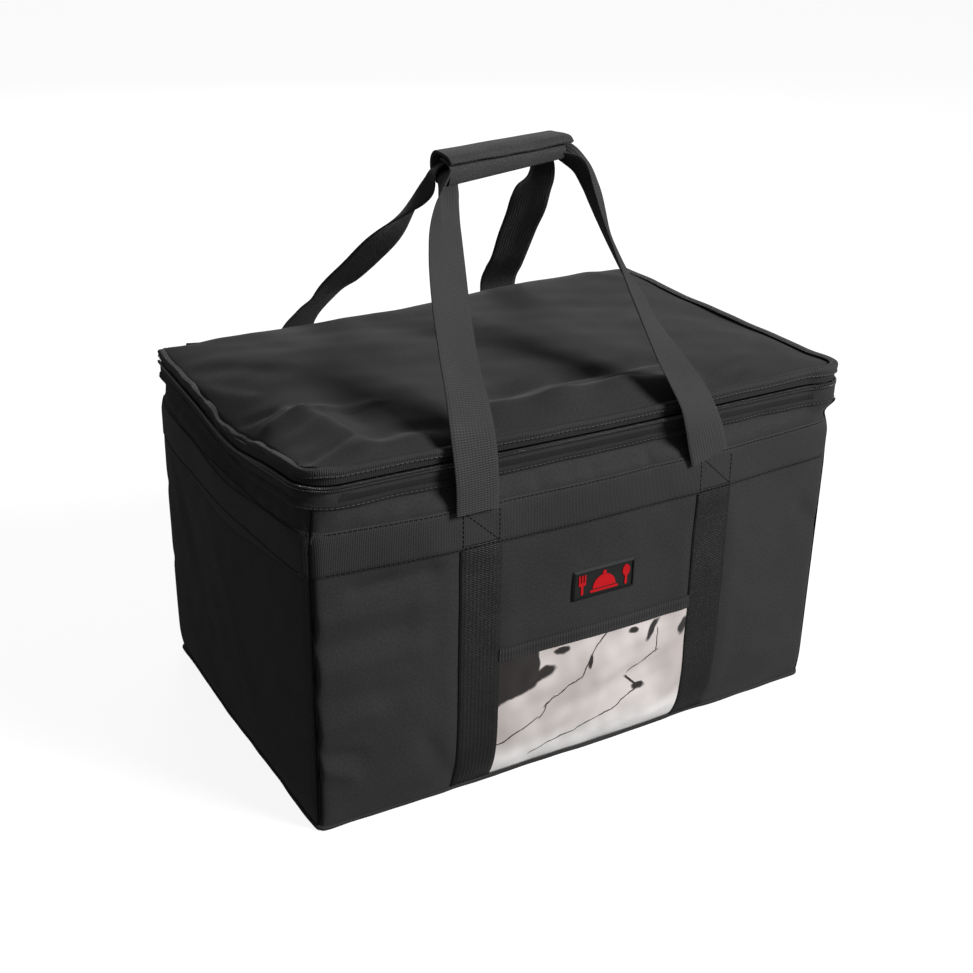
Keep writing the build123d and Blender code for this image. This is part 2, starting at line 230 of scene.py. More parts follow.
def group(name, inputs, outputs):
    tree = bpy.data.node_groups.new(name, "ShaderNodeTree")
    for label, kind, value in inputs:
        s = tree.interface.new_socket(name=label, in_out="INPUT", socket_type=kind)
        if value is not None:
            s.default_value = value
    for label, kind in outputs:
        tree.interface.new_socket(name=label, in_out="OUTPUT", socket_type=kind)
    return tree, tree.nodes.new("NodeGroupInput").outputs, tree.nodes.new("NodeGroupOutput").inputs


def put(tree, kind, values=(), **settings):
    """A node with its settings; values are its inputs, by name or number: sockets are linked, others set."""
    n = tree.nodes.new(kind)
    for key, value in settings.items():
        setattr(n, key, value)
    for key, value in dict(values).items():
        if isinstance(value, bpy.types.NodeSocket):
            tree.links.new(value, n.inputs[key])
        else:
            n.inputs[key].default_value = value
    return n


def math_node(tree, operation, a, b=0.0, c=0.0):
    values = {0: a, 1: b}
    if operation == "MULTIPLY_ADD":
        values[2] = c
    return put(tree, "ShaderNodeMath", values, operation=operation).outputs[0]


def span(tree, value, low, high, to_low=0.0, to_high=1.0):
    return put(tree, "ShaderNodeMapRange", {"Value": value, 1: low, 2: high, 3: to_low, 4: to_high},
               interpolation_type="SMOOTHSTEP").outputs[0]


def noise_at(tree, vector, scale, detail=3.0, rough=0.55):
    return put(tree, "ShaderNodeTexNoise",
               {"Vector": vector, "Scale": scale, "Detail": detail, "Roughness": rough}).outputs["Fac"]


def woven_group():
    """Plain weave: threads that pass over and under each other, with a colour factor that is partly random yarn
    tone and partly painted shade.
    """
    tree, given, out = group("plain_weave", [("Vector", "NodeSocketVector", None),
                             ("Threads", "NodeSocketFloat", 900.0)],
                             [("Height", "NodeSocketFloat"), ("FleckAndShade", "NodeSocketFloat")])
    xyz = put(tree, "ShaderNodeSeparateXYZ", {0: given["Vector"]}).outputs
    k = math_node(tree, "MULTIPLY", given["Threads"], math.pi)
    u = math_node(tree, "SINE", math_node(tree, "MULTIPLY", xyz[0], k))
    v = math_node(tree, "SINE", math_node(tree, "MULTIPLY", xyz[1], k))
    cross = math_node(tree, "MULTIPLY", u, v)
    slub = noise_at(tree, given["Vector"], 420.0, 2.0)
    tree.links.new(math_node(tree, "MULTIPLY_ADD", cross, 0.35, slub), out["Height"])
    # The colour factor is lighter where the slub noise raises the cloth: random yarn tone plus painted shade on
    # its low parts.
    tree.links.new(span(tree, slub, 0.3, 0.7), out["FleckAndShade"])
    return tree


def webbing_group():
    """Cross ribs of a woven strap, over faint lengthwise columns, with painted shade in the grooves."""
    tree, given, out = group("webbing_ribs", [("Vector", "NodeSocketVector", None),
                             ("Ribs", "NodeSocketFloat", 480.0), ("Columns", "NodeSocketFloat", 420.0)],
                             [("Height", "NodeSocketFloat"), ("RibShading", "NodeSocketFloat")])
    xyz = put(tree, "ShaderNodeSeparateXYZ", {0: given["Vector"]}).outputs
    wander = noise_at(tree, given["Vector"], 60.0, 2.0)
    turn = math_node(tree, "MULTIPLY", wander, 2.5)
    u = math_node(tree, "MULTIPLY", xyz[0], math_node(tree, "MULTIPLY", given["Ribs"], 2 * math.pi))
    v = math_node(tree, "MULTIPLY", xyz[1], math_node(tree, "MULTIPLY", given["Columns"], 2 * math.pi))
    rib = math_node(tree, "SINE", math_node(tree, "ADD", u, turn))
    column = math_node(tree, "SINE", v)
    both = math_node(tree, "MULTIPLY_ADD", rib, 0.5, math_node(tree, "MULTIPLY", column, 0.3))
    fuzz = noise_at(tree, given["Vector"], 700.0, 2.0)
    tree.links.new(math_node(tree, "ADD", both, fuzz), out["Height"])
    # This colour factor is painted light and shade: lighter on the rib crests, darker in the grooves between them.
    tree.links.new(math_node(tree, "MULTIPLY_ADD", both, 0.5, 0.5), out["RibShading"])
    return tree


def mottle_group():
    """Slow changes of tone over a piece, with faint dust and rubbed spots."""
    tree, given, out = group("mottle", [("Vector", "NodeSocketVector", None)],
                             [("Slow", "NodeSocketFloat"), ("Dust", "NodeSocketFloat")])
    slow = noise_at(tree, given["Vector"], 9.0, 3.0)
    fine = noise_at(tree, given["Vector"], 160.0, 4.0, 0.7)
    tree.links.new(span(tree, slow, 0.3, 0.7), out["Slow"])
    tree.links.new(span(tree, fine, 0.62, 0.8), out["Dust"])
    return tree


WEAVE, RIBS, MOTTLE = woven_group(), webbing_group(), mottle_group()


def use(tree, shared, values):
    n = tree.nodes.new("ShaderNodeGroup")
    n.node_tree = shared
    for key, value in values.items():
        if isinstance(value, bpy.types.NodeSocket):
            tree.links.new(value, n.inputs[key])
        else:
            n.inputs[key].default_value = value
    return n.outputs


def blank(name):
    m = bpy.data.materials.new(name)
    m.use_nodes = True
    tree = m.node_tree
    tree.nodes.clear()
    shader = tree.nodes.new("ShaderNodeBsdfPrincipled")
    out = tree.nodes.new("ShaderNodeOutputMaterial")
    tree.links.new(shader.outputs[0], out.inputs[0])
    coords = tree.nodes.new("ShaderNodeTexCoord").outputs
    return m, tree, shader.inputs, coords


def grey(level, warm=0.0):
    return (level * (1 + warm), level, level * (1 - warm), 1.0)


def tones(tree, factor, dark, light):
    return put(tree, "ShaderNodeMix", {0: factor, 6: dark, 7: light}, data_type="RGBA").outputs[2]


def bump(tree, height, depth, strength=1.0, under=None):
    values = {"Height": height, "Distance": depth, "Strength": strength}
    if under is not None:
        values["Normal"] = under
    return put(tree, "ShaderNodeBump", values).outputs[0]


CLOTH_ROUGH = 0.85


def cloth_material(name, level, sheen, threads=900.0, depth=0.00018, contrast=0.25):
    """Woven synthetic cloth."""
    m, tree, shader, coords = blank(name)
    weave = use(tree, WEAVE, {"Vector": coords["UV"], "Threads": threads})
    spots = use(tree, MOTTLE, {"Vector": coords["Object"]})
    # The colour follows the weave's colour factor: random tone and dust, plus painted shade where the weave is
    # low.
    tone = math_node(tree, "MULTIPLY_ADD", weave["FleckAndShade"], 0.55, math_node(tree, "MULTIPLY", spots["Slow"], 0.45))
    dust_and_shade = math_node(tree, "MULTIPLY_ADD", spots["Dust"], 0.25, tone)
    dark, light = grey(level * (1 - contrast)), grey(level * (1 + contrast))
    tree.links.new(tones(tree, dust_and_shade, dark, light), shader["Base Color"])
    tree.links.new(span(tree, spots["Slow"], 0, 1, CLOTH_ROUGH - 0.06, CLOTH_ROUGH + 0.06), shader["Roughness"])
    tree.links.new(bump(tree, weave["Height"], depth), shader["Normal"])
    shader["Sheen Weight"].default_value = sheen
    shader["Sheen Roughness"].default_value = 0.45
    shader["Specular IOR Level"].default_value = 0.15
    return m


def web_material(name, level, ribs, columns, sheen, rough=0.7, depth=0.0003, contrast=0.35):
    """Woven strap or tape."""
    m, tree, shader, coords = blank(name)
    rib = use(tree, RIBS, {"Vector": coords["UV"], "Ribs": ribs, "Columns": columns})
    spots = use(tree, MOTTLE, {"Vector": coords["Object"]})
    # The colour follows the rib factor: painted shade in the grooves between ribs, with random tone and dust.
    tone = math_node(tree, "MULTIPLY_ADD", rib["RibShading"], 0.65, math_node(tree, "MULTIPLY", spots["Slow"], 0.35))
    dust_and_shade = math_node(tree, "MULTIPLY_ADD", spots["Dust"], 0.2, tone)
    dark, light = grey(level * (1 - contrast)), grey(level * (1 + contrast))
    tree.links.new(tones(tree, dust_and_shade, dark, light), shader["Base Color"])
    tree.links.new(span(tree, rib["RibShading"], 0, 1, rough + 0.08, rough - 0.08), shader["Roughness"])
    tree.links.new(bump(tree, rib["Height"], depth), shader["Normal"])
    shader["Sheen Weight"].default_value = sheen
    shader["Sheen Roughness"].default_value = 0.4
    shader["Specular IOR Level"].default_value = 0.2
    return m


PEBBLE_SCALE = 1040.0


def moulded_material(name, color, rough, depth=0.00008, specular=0.3):
    """Moulded rubber or plastic with a fine grain."""
    m, tree, shader, coords = blank(name)
    spots = use(tree, MOTTLE, {"Vector": coords["Object"]})
    pebble = noise_at(tree, coords["Object"], PEBBLE_SCALE, 3.0)
    tone = math_node(tree, "MULTIPLY_ADD", spots["Dust"], 0.4, spots["Slow"])
    dark = tuple(c * 0.82 for c in color) + (1.0,)
    light = tuple(min(1.0, c * 1.18) for c in color) + (1.0,)
    tree.links.new(tones(tree, tone, dark, light), shader["Base Color"])
    tree.links.new(span(tree, pebble, 0.2, 0.8, rough - 0.07, rough + 0.07), shader["Roughness"])
    tree.links.new(bump(tree, pebble, depth), shader["Normal"])
    shader["Specular IOR Level"].default_value = specular
    return m


def metal_material(name, color, rough):
    m, tree, shader, coords = blank(name)
    spots = use(tree, MOTTLE, {"Vector": coords["Object"]})
    grain = noise_at(tree, coords["Object"], 900.0, 3.0, 0.7)
    tree.links.new(tones(tree, spots["Slow"], tuple(c * 0.8 for c in color) + (1.0,), tuple(color) + (1.0,)),
                   shader["Base Color"])
    tree.links.new(span(tree, grain, 0.3, 0.7, rough - 0.08, rough + 0.12), shader["Roughness"])
    tree.links.new(bump(tree, grain, 0.00004), shader["Normal"])
    shader["Metallic"].default_value = 1.0
    return m


shell_cloth = cloth_material("shell_cloth", 0.021, sheen=0.05)
# lid_cloth is the shell cloth made darker: painted shade, offsetting the stronger light that falls on the lid's
# top.
lid_cloth = cloth_material("lid_cloth", 0.0185, sheen=0.05)
grip_cloth = cloth_material("grip_cloth", 0.034, sheen=0.08, threads=620.0, depth=0.0003, contrast=0.4)
band_web = web_material("band_web", 0.0205, ribs=640.0, columns=520.0, sheen=0.04, depth=0.00025, contrast=0.35)
sling_web = web_material("sling_web", 0.0050, ribs=560.0, columns=250.0, sheen=0.02, rough=0.5, contrast=0.5)
handle_web = web_material("handle_web", 0.0245, ribs=460.0, columns=330.0, sheen=0.06, contrast=0.3)
edge_tape = web_material("edge_tape", 0.020, ribs=620.0, columns=260.0, sheen=0.06, depth=0.0004, contrast=0.6)
rim_web = web_material("rim_web", 0.012, ribs=900.0, columns=420.0, sheen=0.06, depth=0.0003, contrast=0.4)
zip_tape = web_material("zip_tape", 0.012, ribs=500.0, columns=700.0, sheen=0.04, depth=0.0002)
pocket_tape = web_material("pocket_tape", 0.020, ribs=330.0, columns=120.0, sheen=0.05, depth=0.0004, contrast=0.5)
coil_plastic = moulded_material("coil_plastic", (0.045, 0.045, 0.047), 0.22, specular=0.6)
patch_rubber = moulded_material("patch_rubber", (0.011, 0.0115, 0.0115), 0.6, depth=0.00012, specular=0.12)
patch_red = moulded_material("patch_red", (0.34, 0.004, 0.007), 0.5, specular=0.15)
thread = moulded_material("thread", (0.045, 0.045, 0.045), 0.7)
dark_thread = moulded_material("dark_thread", (0.003, 0.003, 0.003), 0.9, specular=0.05)
foam_grey = moulded_material("foam_grey", (0.22, 0.22, 0.22), 0.9, depth=0.0006)
board_grey = moulded_material("board_grey", (0.06, 0.06, 0.06), 0.6)
dark_metal = metal_material("dark_metal", (0.16, 0.16, 0.165), 0.34)
hook_loop = cloth_material("hook_loop", 0.008, sheen=0.5, threads=1400.0, depth=0.0009, contrast=0.6)


def lining_material():
    """Wipe-clean foil-backed lining with soft dents."""
    m, tree, shader, coords = blank("lining_foil")
    spots = use(tree, MOTTLE, {"Vector": coords["Object"]})
    dents = noise_at(tree, coords["Object"], 38.0, 4.0, 0.6)
    tree.links.new(tones(tree, spots["Slow"], grey(0.30), grey(0.42)), shader["Base Color"])
    tree.links.new(span(tree, dents, 0.3, 0.7, 0.26, 0.48), shader["Roughness"])
    tree.links.new(bump(tree, dents, 0.004), shader["Normal"])
    shader["Metallic"].default_value = 0.75
    return m


def film_material():
    """Clear vinyl over a pale card: a soft sheen, with painted dark reflections in patches and along thin creases.
    """
    m, tree, shader, coords = blank("window_film")
    where = coords["Object"]
    warp = put(tree, "ShaderNodeTexNoise", {"Vector": where, "Scale": 26.0, "Detail": 3.0}).outputs["Color"]
    shift = put(tree, "ShaderNodeVectorMath", {0: warp, 1: (0.5, 0.5, 0.5)}, operation="SUBTRACT").outputs[0]
    bent = put(tree, "ShaderNodeVectorMath", {0: shift, 1: (0.022, 0.022, 0.022), 2: where},
               operation="MULTIPLY_ADD").outputs[0]

    def side_of(point, normal, soft):
        """1 on the side of a line that its normal points to."""
        n = Vector((normal[0], 0, normal[1])).normalized()
        d = put(tree, "ShaderNodeVectorMath", {0: bent, 1: n}, operation="DOT_PRODUCT").outputs["Value"]
        level = point[0] * n.x + point[1] * n.z
        return span(tree, d, level - soft, level + soft)

    def reflection_blot(centre, size, angle):
        """1 inside a slanted oval: a patch of painted dark reflection."""
        at = put(tree, "ShaderNodeMapping", {"Vector": bent, "Location": (centre[0], 0, centre[1]),
                 "Rotation": (0, math.radians(angle), 0), "Scale": (size[0], 1000, size[1])},
                 vector_type="TEXTURE").outputs[0]
        d = put(tree, "ShaderNodeVectorMath", {0: at}, operation="LENGTH").outputs["Value"]
        return span(tree, d, 1.25, 0.75)

    def line(start, end, width):
        """1 along a thin wandering line between two points: a crease, bumped, with painted dark reflection along
        it.
        """
        along = Vector((end[0] - start[0], 0, end[1] - start[1]))
        length = along.length
        along.normalize()
        n = Vector((-along.z, 0, along.x))
        d = put(tree, "ShaderNodeVectorMath", {0: bent, 1: n}, operation="DOT_PRODUCT").outputs["Value"]
        t = put(tree, "ShaderNodeVectorMath", {0: where, 1: along}, operation="DOT_PRODUCT").outputs["Value"]
        off = math_node(tree, "ABSOLUTE", math_node(tree, "SUBTRACT", d, start[0] * n.x + start[1] * n.z))
        first = start[0] * along.x + start[1] * along.z
        thin = span(tree, off, width, width * 0.35)
        inside = math_node(tree, "MULTIPLY", span(tree, t, first - 0.004, first + 0.002),
                           span(tree, t, first + length + 0.004, first + length - 0.002))
        return math_node(tree, "MULTIPLY", thin, inside)

    # Painted dark reflections: a patch in the upper left corner, ovals, and thin lines along the creases.
    corner = math_node(tree, "MULTIPLY", side_of((-0.085, 0.098), (-0.38, 0.92), 0.0014),
                       side_of((-0.066, 0.130), (-1.0, -0.22), 0.0014))
    reflection_marks = [corner]
    for centre, size, angle in [
        ((-0.058, 0.1150), (0.0115, 0.0066), -14), ((-0.040, 0.1370), (0.0075, 0.0042), 8),
        ((-0.006, 0.1120), (0.0026, 0.0075), 15), ((0.040, 0.1385), (0.0045, 0.0036), 10),
        ((0.066, 0.1310), (0.0044, 0.0130), 42), ((0.107, 0.1230), (0.0050, 0.0120), 12),
        ((0.057, 0.0660), (0.0075, 0.0040), 20),
    ]:
        reflection_marks.append(reflection_blot(centre, size, angle))
    for width, points in [
        (0.0010, [(0.011, 0.139), (-0.005, 0.117), (-0.017, 0.100), (-0.047, 0.090), (-0.059, 0.080),
                  (-0.064, 0.067), (-0.110, 0.047)]),
        (0.0009, [(0.075, 0.128), (0.073, 0.104), (0.060, 0.095), (0.040, 0.087)]),
        (0.0018, [(0.037, 0.083), (0.056, 0.068)]),
        (0.0011, [(0.056, 0.064), (0.021, 0.049), (-0.020, 0.037), (-0.068, 0.024)]),
    ]:
        for first, second in zip(points, points[1:]):
            reflection_marks.append(line(first, second, width))
    # dark gathers every mark into one mask of painted dark reflection.
    dark = reflection_marks[0]
    for mark in reflection_marks[1:]:
        dark = math_node(tree, "MAXIMUM", dark, mark)
    slow = noise_at(tree, where, 14.0, 2.0)
    xyz = put(tree, "ShaderNodeSeparateXYZ", {0: where}).outputs
    low = span(tree, xyz[2], 0.055, 0.012)
    card = tones(tree, span(tree, slow, 0.35, 0.65), (0.42, 0.375, 0.36, 1), (0.56, 0.515, 0.50, 1))
    card = tones(tree, low, card, (0.92, 0.90, 0.89, 1))
    # Where the mask is 1 the card is painted near black: painted dark reflection.
    tree.links.new(tones(tree, dark, card, (0.012, 0.008, 0.0078, 1)), shader["Base Color"])
    tree.links.new(span(tree, slow, 0.3, 0.7, 0.16, 0.30), shader["Roughness"])
    soft = bump(tree, slow, 0.006, 0.6)
    tree.links.new(bump(tree, dark, 0.0012, 0.7, under=soft), shader["Normal"])
    shader["Coat Weight"].default_value = 0.8
    shader["Coat Roughness"].default_value = 0.07
    return m


lining_foil, window_film = lining_material(), film_material()


# ---- the walls ----

SIDES = {
    "front": ((-HX, -HY), (1, 0), (0, -1), 2 * HX),
    "right": ((HX, -HY), (0, 1), (1, 0), 2 * HY),
    "back": ((HX, HY), (-1, 0), (0, 1), 2 * HX),
    "left": ((-HX, HY), (0, -1), (-1, 0), 2 * HY),
}
SIDE_BOW = {"front": 0.016, "right": 0.008, "back": 0.014, "left": 0.013}

# Folds in each wall: (from, to, height, narrow, wide), in the side's own coordinate and z
WALL_FOLDS = {
    "front": [
        ((-0.245, 0.248), (-0.180, 0.252), -0.0040, 0.009, 0.008),
        ((-0.285, 0.222), (-0.190, 0.226), 0.0026, 0.010, 0.010),
        ((-0.285, 0.196), (-0.205, 0.202), -0.0024, 0.010, 0.010),
        ((-0.285, 0.170), (-0.195, 0.178), 0.0022, 0.012, 0.010),
        ((-0.285, 0.142), (-0.215, 0.140), -0.0022, 0.010, 0.012),
        ((-0.285, 0.110), (-0.235, 0.120), 0.0024, 0.008, 0.010),
        ((-0.284, 0.088), (-0.250, 0.078), -0.0022, 0.006, 0.008),
        ((-0.284, 0.070), (-0.255, 0.056), 0.0024, 0.006, 0.008),
        ((-0.180, 0.070), (-0.155, 0.024), -0.0022, 0.008, 0.012),
        ((0.044, 0.334), (0.052, 0.312), -0.0038, 0.0035, 0.006),
        ((-0.020, 0.332), (-0.012, 0.314), -0.0018, 0.005, 0.006),
        ((0.086, 0.330), (0.092, 0.312), -0.0020, 0.004, 0.007),
        ((-0.075, 0.332), (-0.070, 0.314), -0.0016, 0.005, 0.006),
        ((-0.205, 0.326), (-0.200, 0.312), -0.0012, 0.008, 0.008),
        ((0.180, 0.332), (0.184, 0.312), -0.0014, 0.006, 0.008),
        ((0.255, 0.215), (0.283, 0.190), -0.0018, 0.008, 0.010),
        ((0.200, 0.060), (0.280, 0.042), 0.0016, 0.012, 0.012),
    ],
    "left": [
        ((0.150, 0.250), (0.090, 0.150), 0.0009, 0.010, 0.014),
        ((0.110, 0.240), (0.030, 0.110), -0.00081, 0.010, 0.014),
        ((0.020, 0.240), (-0.060, 0.090), 0.00063, 0.014, 0.018),
        ((-0.185, 0.150), (-0.150, 0.140), -0.00081, 0.006, 0.008),
        ((-0.185, 0.100), (-0.155, 0.092), -0.00072, 0.006, 0.008),
        ((0.186, 0.210), (0.165, 0.200), -0.00108, 0.006, 0.008),
        ((0.186, 0.120), (0.160, 0.110), -0.00108, 0.006, 0.008),
    ],
    "right": [
        ((-0.150, 0.230), (-0.080, 0.140), 0.0018, 0.012, 0.014),
        ((0.060, 0.240), (0.140, 0.120), -0.0018, 0.012, 0.014),
        ((-0.183, 0.180), (-0.150, 0.172), -0.0020, 0.007, 0.008),
    ],
    "back": [
        ((-0.260, 0.210), (-0.190, 0.190), 0.0020, 0.012, 0.014),
        ((0.270, 0.240), (0.200, 0.180), -0.0022, 0.012, 0.014),
        ((-0.060, 0.200), (0.070, 0.150), 0.0018, 0.016, 0.020),
        ((0.184, 0.100), (0.270, 0.070), 0.0020, 0.012, 0.012),
    ],
}


def side_coordinate(side, d):
    """x or y, as it is on the part, at a distance along a side."""
    (x, y), (tx, ty), _, _ = SIDES[side]
    return x + tx * d if tx else y + ty * d


def wall_out(side, d, z):
    """How far the wall stands out from its seam lines."""
    length = SIDES[side][3]
    a = side_coordinate(side, d)
    half = length / 2
    near = np.minimum(d, length - d)
    inner = smooth(near / 0.030)
    top = 0.45 if side == "left" else 0.86
    tall = 1 - top * np.clip((z - 0.18) / 0.161, 0, 1) ** 8 - np.clip((0.18 - z) / 0.18, 0, 1) ** 6
    out = SIDE_BOW[side] * (1 - np.abs(a / half) ** 2.4) * tall
    out -= 0.0045 * np.clip(1 - z / 0.035, 0, 1) ** 2
    # cloth between its seams: fuller above the band, softly uneven elsewhere
    out += 0.0012 * inner * np.exp(-((z - 0.317) / 0.006) ** 2)
    out -= 0.0009 * np.exp(-((z - 0.286) / 0.024) ** 4)
    out += inner * 0.0007 * ripple(a, z, 0.110, 11)
    out += inner * 0.00022 * ripple(a, z, 0.036, 12)
    out += 0.0009 * np.exp(-((z - 0.319) / 0.009) ** 2) * ripple(a, z * 0.2, 0.022, 13) * inner
    if side in ("front", "back"):
        for x in (-STRAP_X, STRAP_X):
            under = np.exp(-((a - x) / (STRAP_WIDTH * 0.56)) ** 6) * smooth((0.262 - z) / 0.02)
            beside = np.exp(-((np.abs(a - x) - STRAP_WIDTH * 0.75) / 0.009) ** 2) * smooth((0.255 - z) / 0.03)
            out += 0.0006 * beside * smooth(z / 0.05) - 0.0009 * under
    for start, end, height, narrow, wide in WALL_FOLDS[side]:
        out += crease(a, z, start, end, height, narrow, wide) * smooth(near / 0.006)
    return out


def droop(x, y):
    """How far the rim has dropped on the left side, where the lid hangs slack."""
    return -0.011 * np.exp(-((y + 0.035) / 0.085) ** 2) * smooth((-x - 0.2) / 0.08)


def top_bow(x, y):
    """How far the rim bows outwards at its top."""
    left = 0.0065 * np.clip(1 - np.abs(y / HY) ** 2.4, 0, 1) * smooth((-x - 0.24) / 0.04)
    right = 0.0012 * np.clip(1 - np.abs(y / HY) ** 2.4, 0, 1) * smooth((x - 0.24) / 0.04)
    front = 0.0020 * np.clip(1 - np.abs(x / HX) ** 2.4, 0, 1) * smooth((-y - 0.14) / 0.04)
    corner = 0.0150 * np.exp(-((x - ZIP_HX) ** 2 + (y + ZIP_HY) ** 2) / 0.022 ** 2)
    return left + right + front + corner


def wall_drop(x, y, z):
    """How far a point of the wall has dropped with the rim above it."""
    return droop(x, y) * smooth((z - 0.10) / 0.2)


def ring_point(side, d, half_x, half_y, radius):
    """A point of a rounded plan that belongs to a distance along a side, and its outward direction."""
    _, (tx, ty), (ox, oy), length = SIDES[side]
    t, o = np.array([tx, ty], float), np.array([ox, oy], float)
    half = half_x if tx else half_y
    other = half_y if tx else half_x
    half_seam = length / 2
    near = np.minimum(d, length - d)
    sign = np.where(d < half_seam, -1.0, 1.0)
    turn = math.pi / 4 * (1 - near / radius)
    bend = near < radius
    turn = np.where(bend, turn, 0.0)
    flat = np.where(bend, half - radius, (half - radius) * (half_seam - near) / (half_seam - radius))
    direction = np.cos(turn)[..., None] * o + (np.sin(turn) * sign)[..., None] * t
    centre = (flat * sign)[..., None] * t + (other - radius) * o
    return centre + direction * radius, direction


def side_columns(length):
    near = [0, 0.0011, 0.0023, 0.0038, 0.0058, 0.0085, 0.0120]
    count = round((length - 0.032) / 0.0040)
    middle = [0.016 + (length - 0.032) * i / count for i in range(count + 1)]
    return np.array(near + middle + [length - d for d in reversed(near)])


def wall_points(side, d, z):
    """The wall's outer face: flat sides that meet in a seam, drawn in to the zip's rounded line at the top."""
    (sx, sy), (tx, ty), (ox, oy), length = SIDES[side]
    t, o = np.array([tx, ty], float), np.array([ox, oy], float)
    near = np.minimum(d, length - d)
    sign = np.where(d < length / 2, 1.0, -1.0)
    roll = 0.0042 * np.exp(-((near / 0.0046) ** 1.6))
    out = wall_out(side, d, z)
    plan = (np.array([sx, sy]) + d[..., None] * t + (out - roll)[..., None] * o
            + (sign * roll)[..., None] * t)
    rounded, direction = ring_point(side, d, ZIP_HX + 0.0015, ZIP_HY + 0.0015, ZIP_CORNER)
    keep = 1 - smooth((z - 0.309) / 0.017)
    bow = top_bow(rounded[..., 0], rounded[..., 1])
    rounded = rounded + direction * (out * smooth(near / 0.05) * keep + bow * (1 - keep))[..., None]
    up = smooth((z - 0.290) / 0.036)[..., None]
    plan = plan * (1 - up) + rounded * up
    drop = wall_drop(plan[..., 0], plan[..., 1], z)
    return np.concatenate([plan, (z + drop)[..., None]], axis=-1)


def build_walls():
    rows = np.concatenate([np.array([0.003, 0.0055, 0.009, 0.013]), np.linspace(0.0175, WALL_TOP, 80)])
    outer, flat, reach = [], [], 0.0
    inner_rows = [(WALL_TOP + 0.0008, 0.003), (WALL_TOP, 0.0095), (0.30, 0.0105), (0.15, 0.0105),
                  (0.012, 0.0105), (0.003, 0.010)]
    for side, (_, _, _, length) in SIDES.items():
        d = side_columns(length)
        dd, zz = np.meshgrid(d, rows)
        face = wall_points(side, dd, zz)
        back = []
        for z, inset in inner_rows:
            plan, _ = ring_point(side, d, HX - inset, HY - inset, 0.018)
            drop = wall_drop(plan[:, 0], plan[:, 1], z)
            back.append(at_height(plan, np.full_like(d, z) + drop))
        grid = np.concatenate([face, np.array(back), face[:1]])
        heights = np.concatenate([rows, rows[-1] + np.cumsum(np.full(len(inner_rows), 0.02)), rows[:1]])
        u, v = np.meshgrid(d + reach, heights)
        outer.append(grid)
        flat.append(np.stack([u, v], axis=-1))
        reach += length
    obj = cloth_grid("shell_walls", np.concatenate(outer, axis=1), np.concatenate(flat, axis=1))
    return closed(obj, fill=False)


walls = build_walls()
wear(walls, shell_cloth, 60)
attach(walls, "root")
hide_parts(*[f"{side}_{layer}" for side in SIDES for layer in ("panel", "foam")])

wall_tree = BVHTree.FromPolygons([v.co for v in walls.data.vertices], [p.vertices for p in walls.data.polygons])


def on_wall(side, a, z, lift):
    """Points on the wall's face, lifted off it. a is x or y, as arrays."""
    _, (tx, _), (ox, oy), _ = SIDES[side]
    a, z, lift = np.broadcast_arrays(a, z, lift)
    out = np.empty(a.shape + (3,))
    for k in np.ndindex(a.shape):
        p = Vector((a[k], oy * 0.4, z[k])) if tx else Vector((ox * 0.5, a[k], z[k]))
        hit = wall_tree.ray_cast(p, Vector((-ox, -oy, 0)))[0]
        if hit is None:
            hit = Vector((a[k], oy * HY, z[k])) if tx else Vector((ox * HX, a[k], z[k]))
        out[k] = hit
    out[..., 0] += ox * lift
    out[..., 1] += oy * lift
    return out


RIBBON_ROWS = np.array([-1.0, -0.96, -0.7, -0.35, 0.0, 0.35, 0.7, 0.96, 1.0])
RIBBON_LIFT = np.array([0.35, 0.9, 1.0, 1.0, 1.0, 1.0, 1.0, 0.9, 0.35])


def laid(name, side, a0, a1, z0, z1, thickness):
    """A tape laid on the wall along the side, between two heights."""
    a = np.linspace(a0, a1, max(4, round(abs(a1 - a0) / 0.004)))
    z = (z0 + z1) / 2 + RIBBON_ROWS * (z1 - z0) / 2
    aa, zz = np.meshgrid(a, z)
    if side == "left":
        zz = zz + wall_drop(-HX + 0 * aa, aa, zz)
    outer = on_wall(side, aa, zz, (RIBBON_LIFT * thickness)[:, None])
    inner = on_wall(side, aa, zz, -0.0006)
    return strip(name, outer, inner, np.abs(a - a0), z - z0)


# ---- the band round the box ----

for side, (_, tangent, _, length) in SIDES.items():
    half = length / 2 - 0.0036
    sign = 1 if sum(tangent) > 0 else -1
    band = laid(f"band_{side}", side, -half * sign, half * sign, BAND_LOW, BAND_HIGH, WEB)
    wear(band, band_web)
    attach(band, "root")
    if side == "front":
        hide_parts("girth_band")


def build_sling(name, x):
    """A carrying strap: down the front, under the base and up the back."""
    across = x + RIBBON_ROWS * STRAP_WIDTH / 2
    heights = np.linspace(0.270, 0.010, 56)
    xx, zz = np.meshgrid(across, heights, indexing="ij")
    faces = {}
    for part, depth in (("outer", RIBBON_LIFT[:, None] * WEB + 0 * xx), ("inner", -0.0005 + 0 * xx)):
        front = on_wall("front", xx, zz, depth)
        back = on_wall("back", xx, zz, depth)[:, ::-1]
        z = 0.0004 if part == "outer" else 0.0021
        y = np.concatenate([[-0.1885, -0.1865, -0.181], np.linspace(-0.17, 0.17, 12), [0.181, 0.1865, 0.1885]])
        floor = np.stack(np.broadcast_arrays(across[:, None], y[None, :],
                                             z + 0.0035 * smooth((np.abs(y) - 0.181) / 0.009)[None, :]), axis=-1)
        faces[part] = np.concatenate([front, floor, back], axis=1)
    middle = faces["outer"][4]
    along = run_along(middle)
    return strip(name, faces["outer"], faces["inner"], along, across - x)


for side_name, x in (("left", -STRAP_X), ("right", STRAP_X)):
    sling = build_sling(f"{side_name}_sling", x)
    wear(sling, sling_web)
    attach(sling, "root")
    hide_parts(*[f"{side_name}_sling_{part}" for part in ("front", "under", "back")])


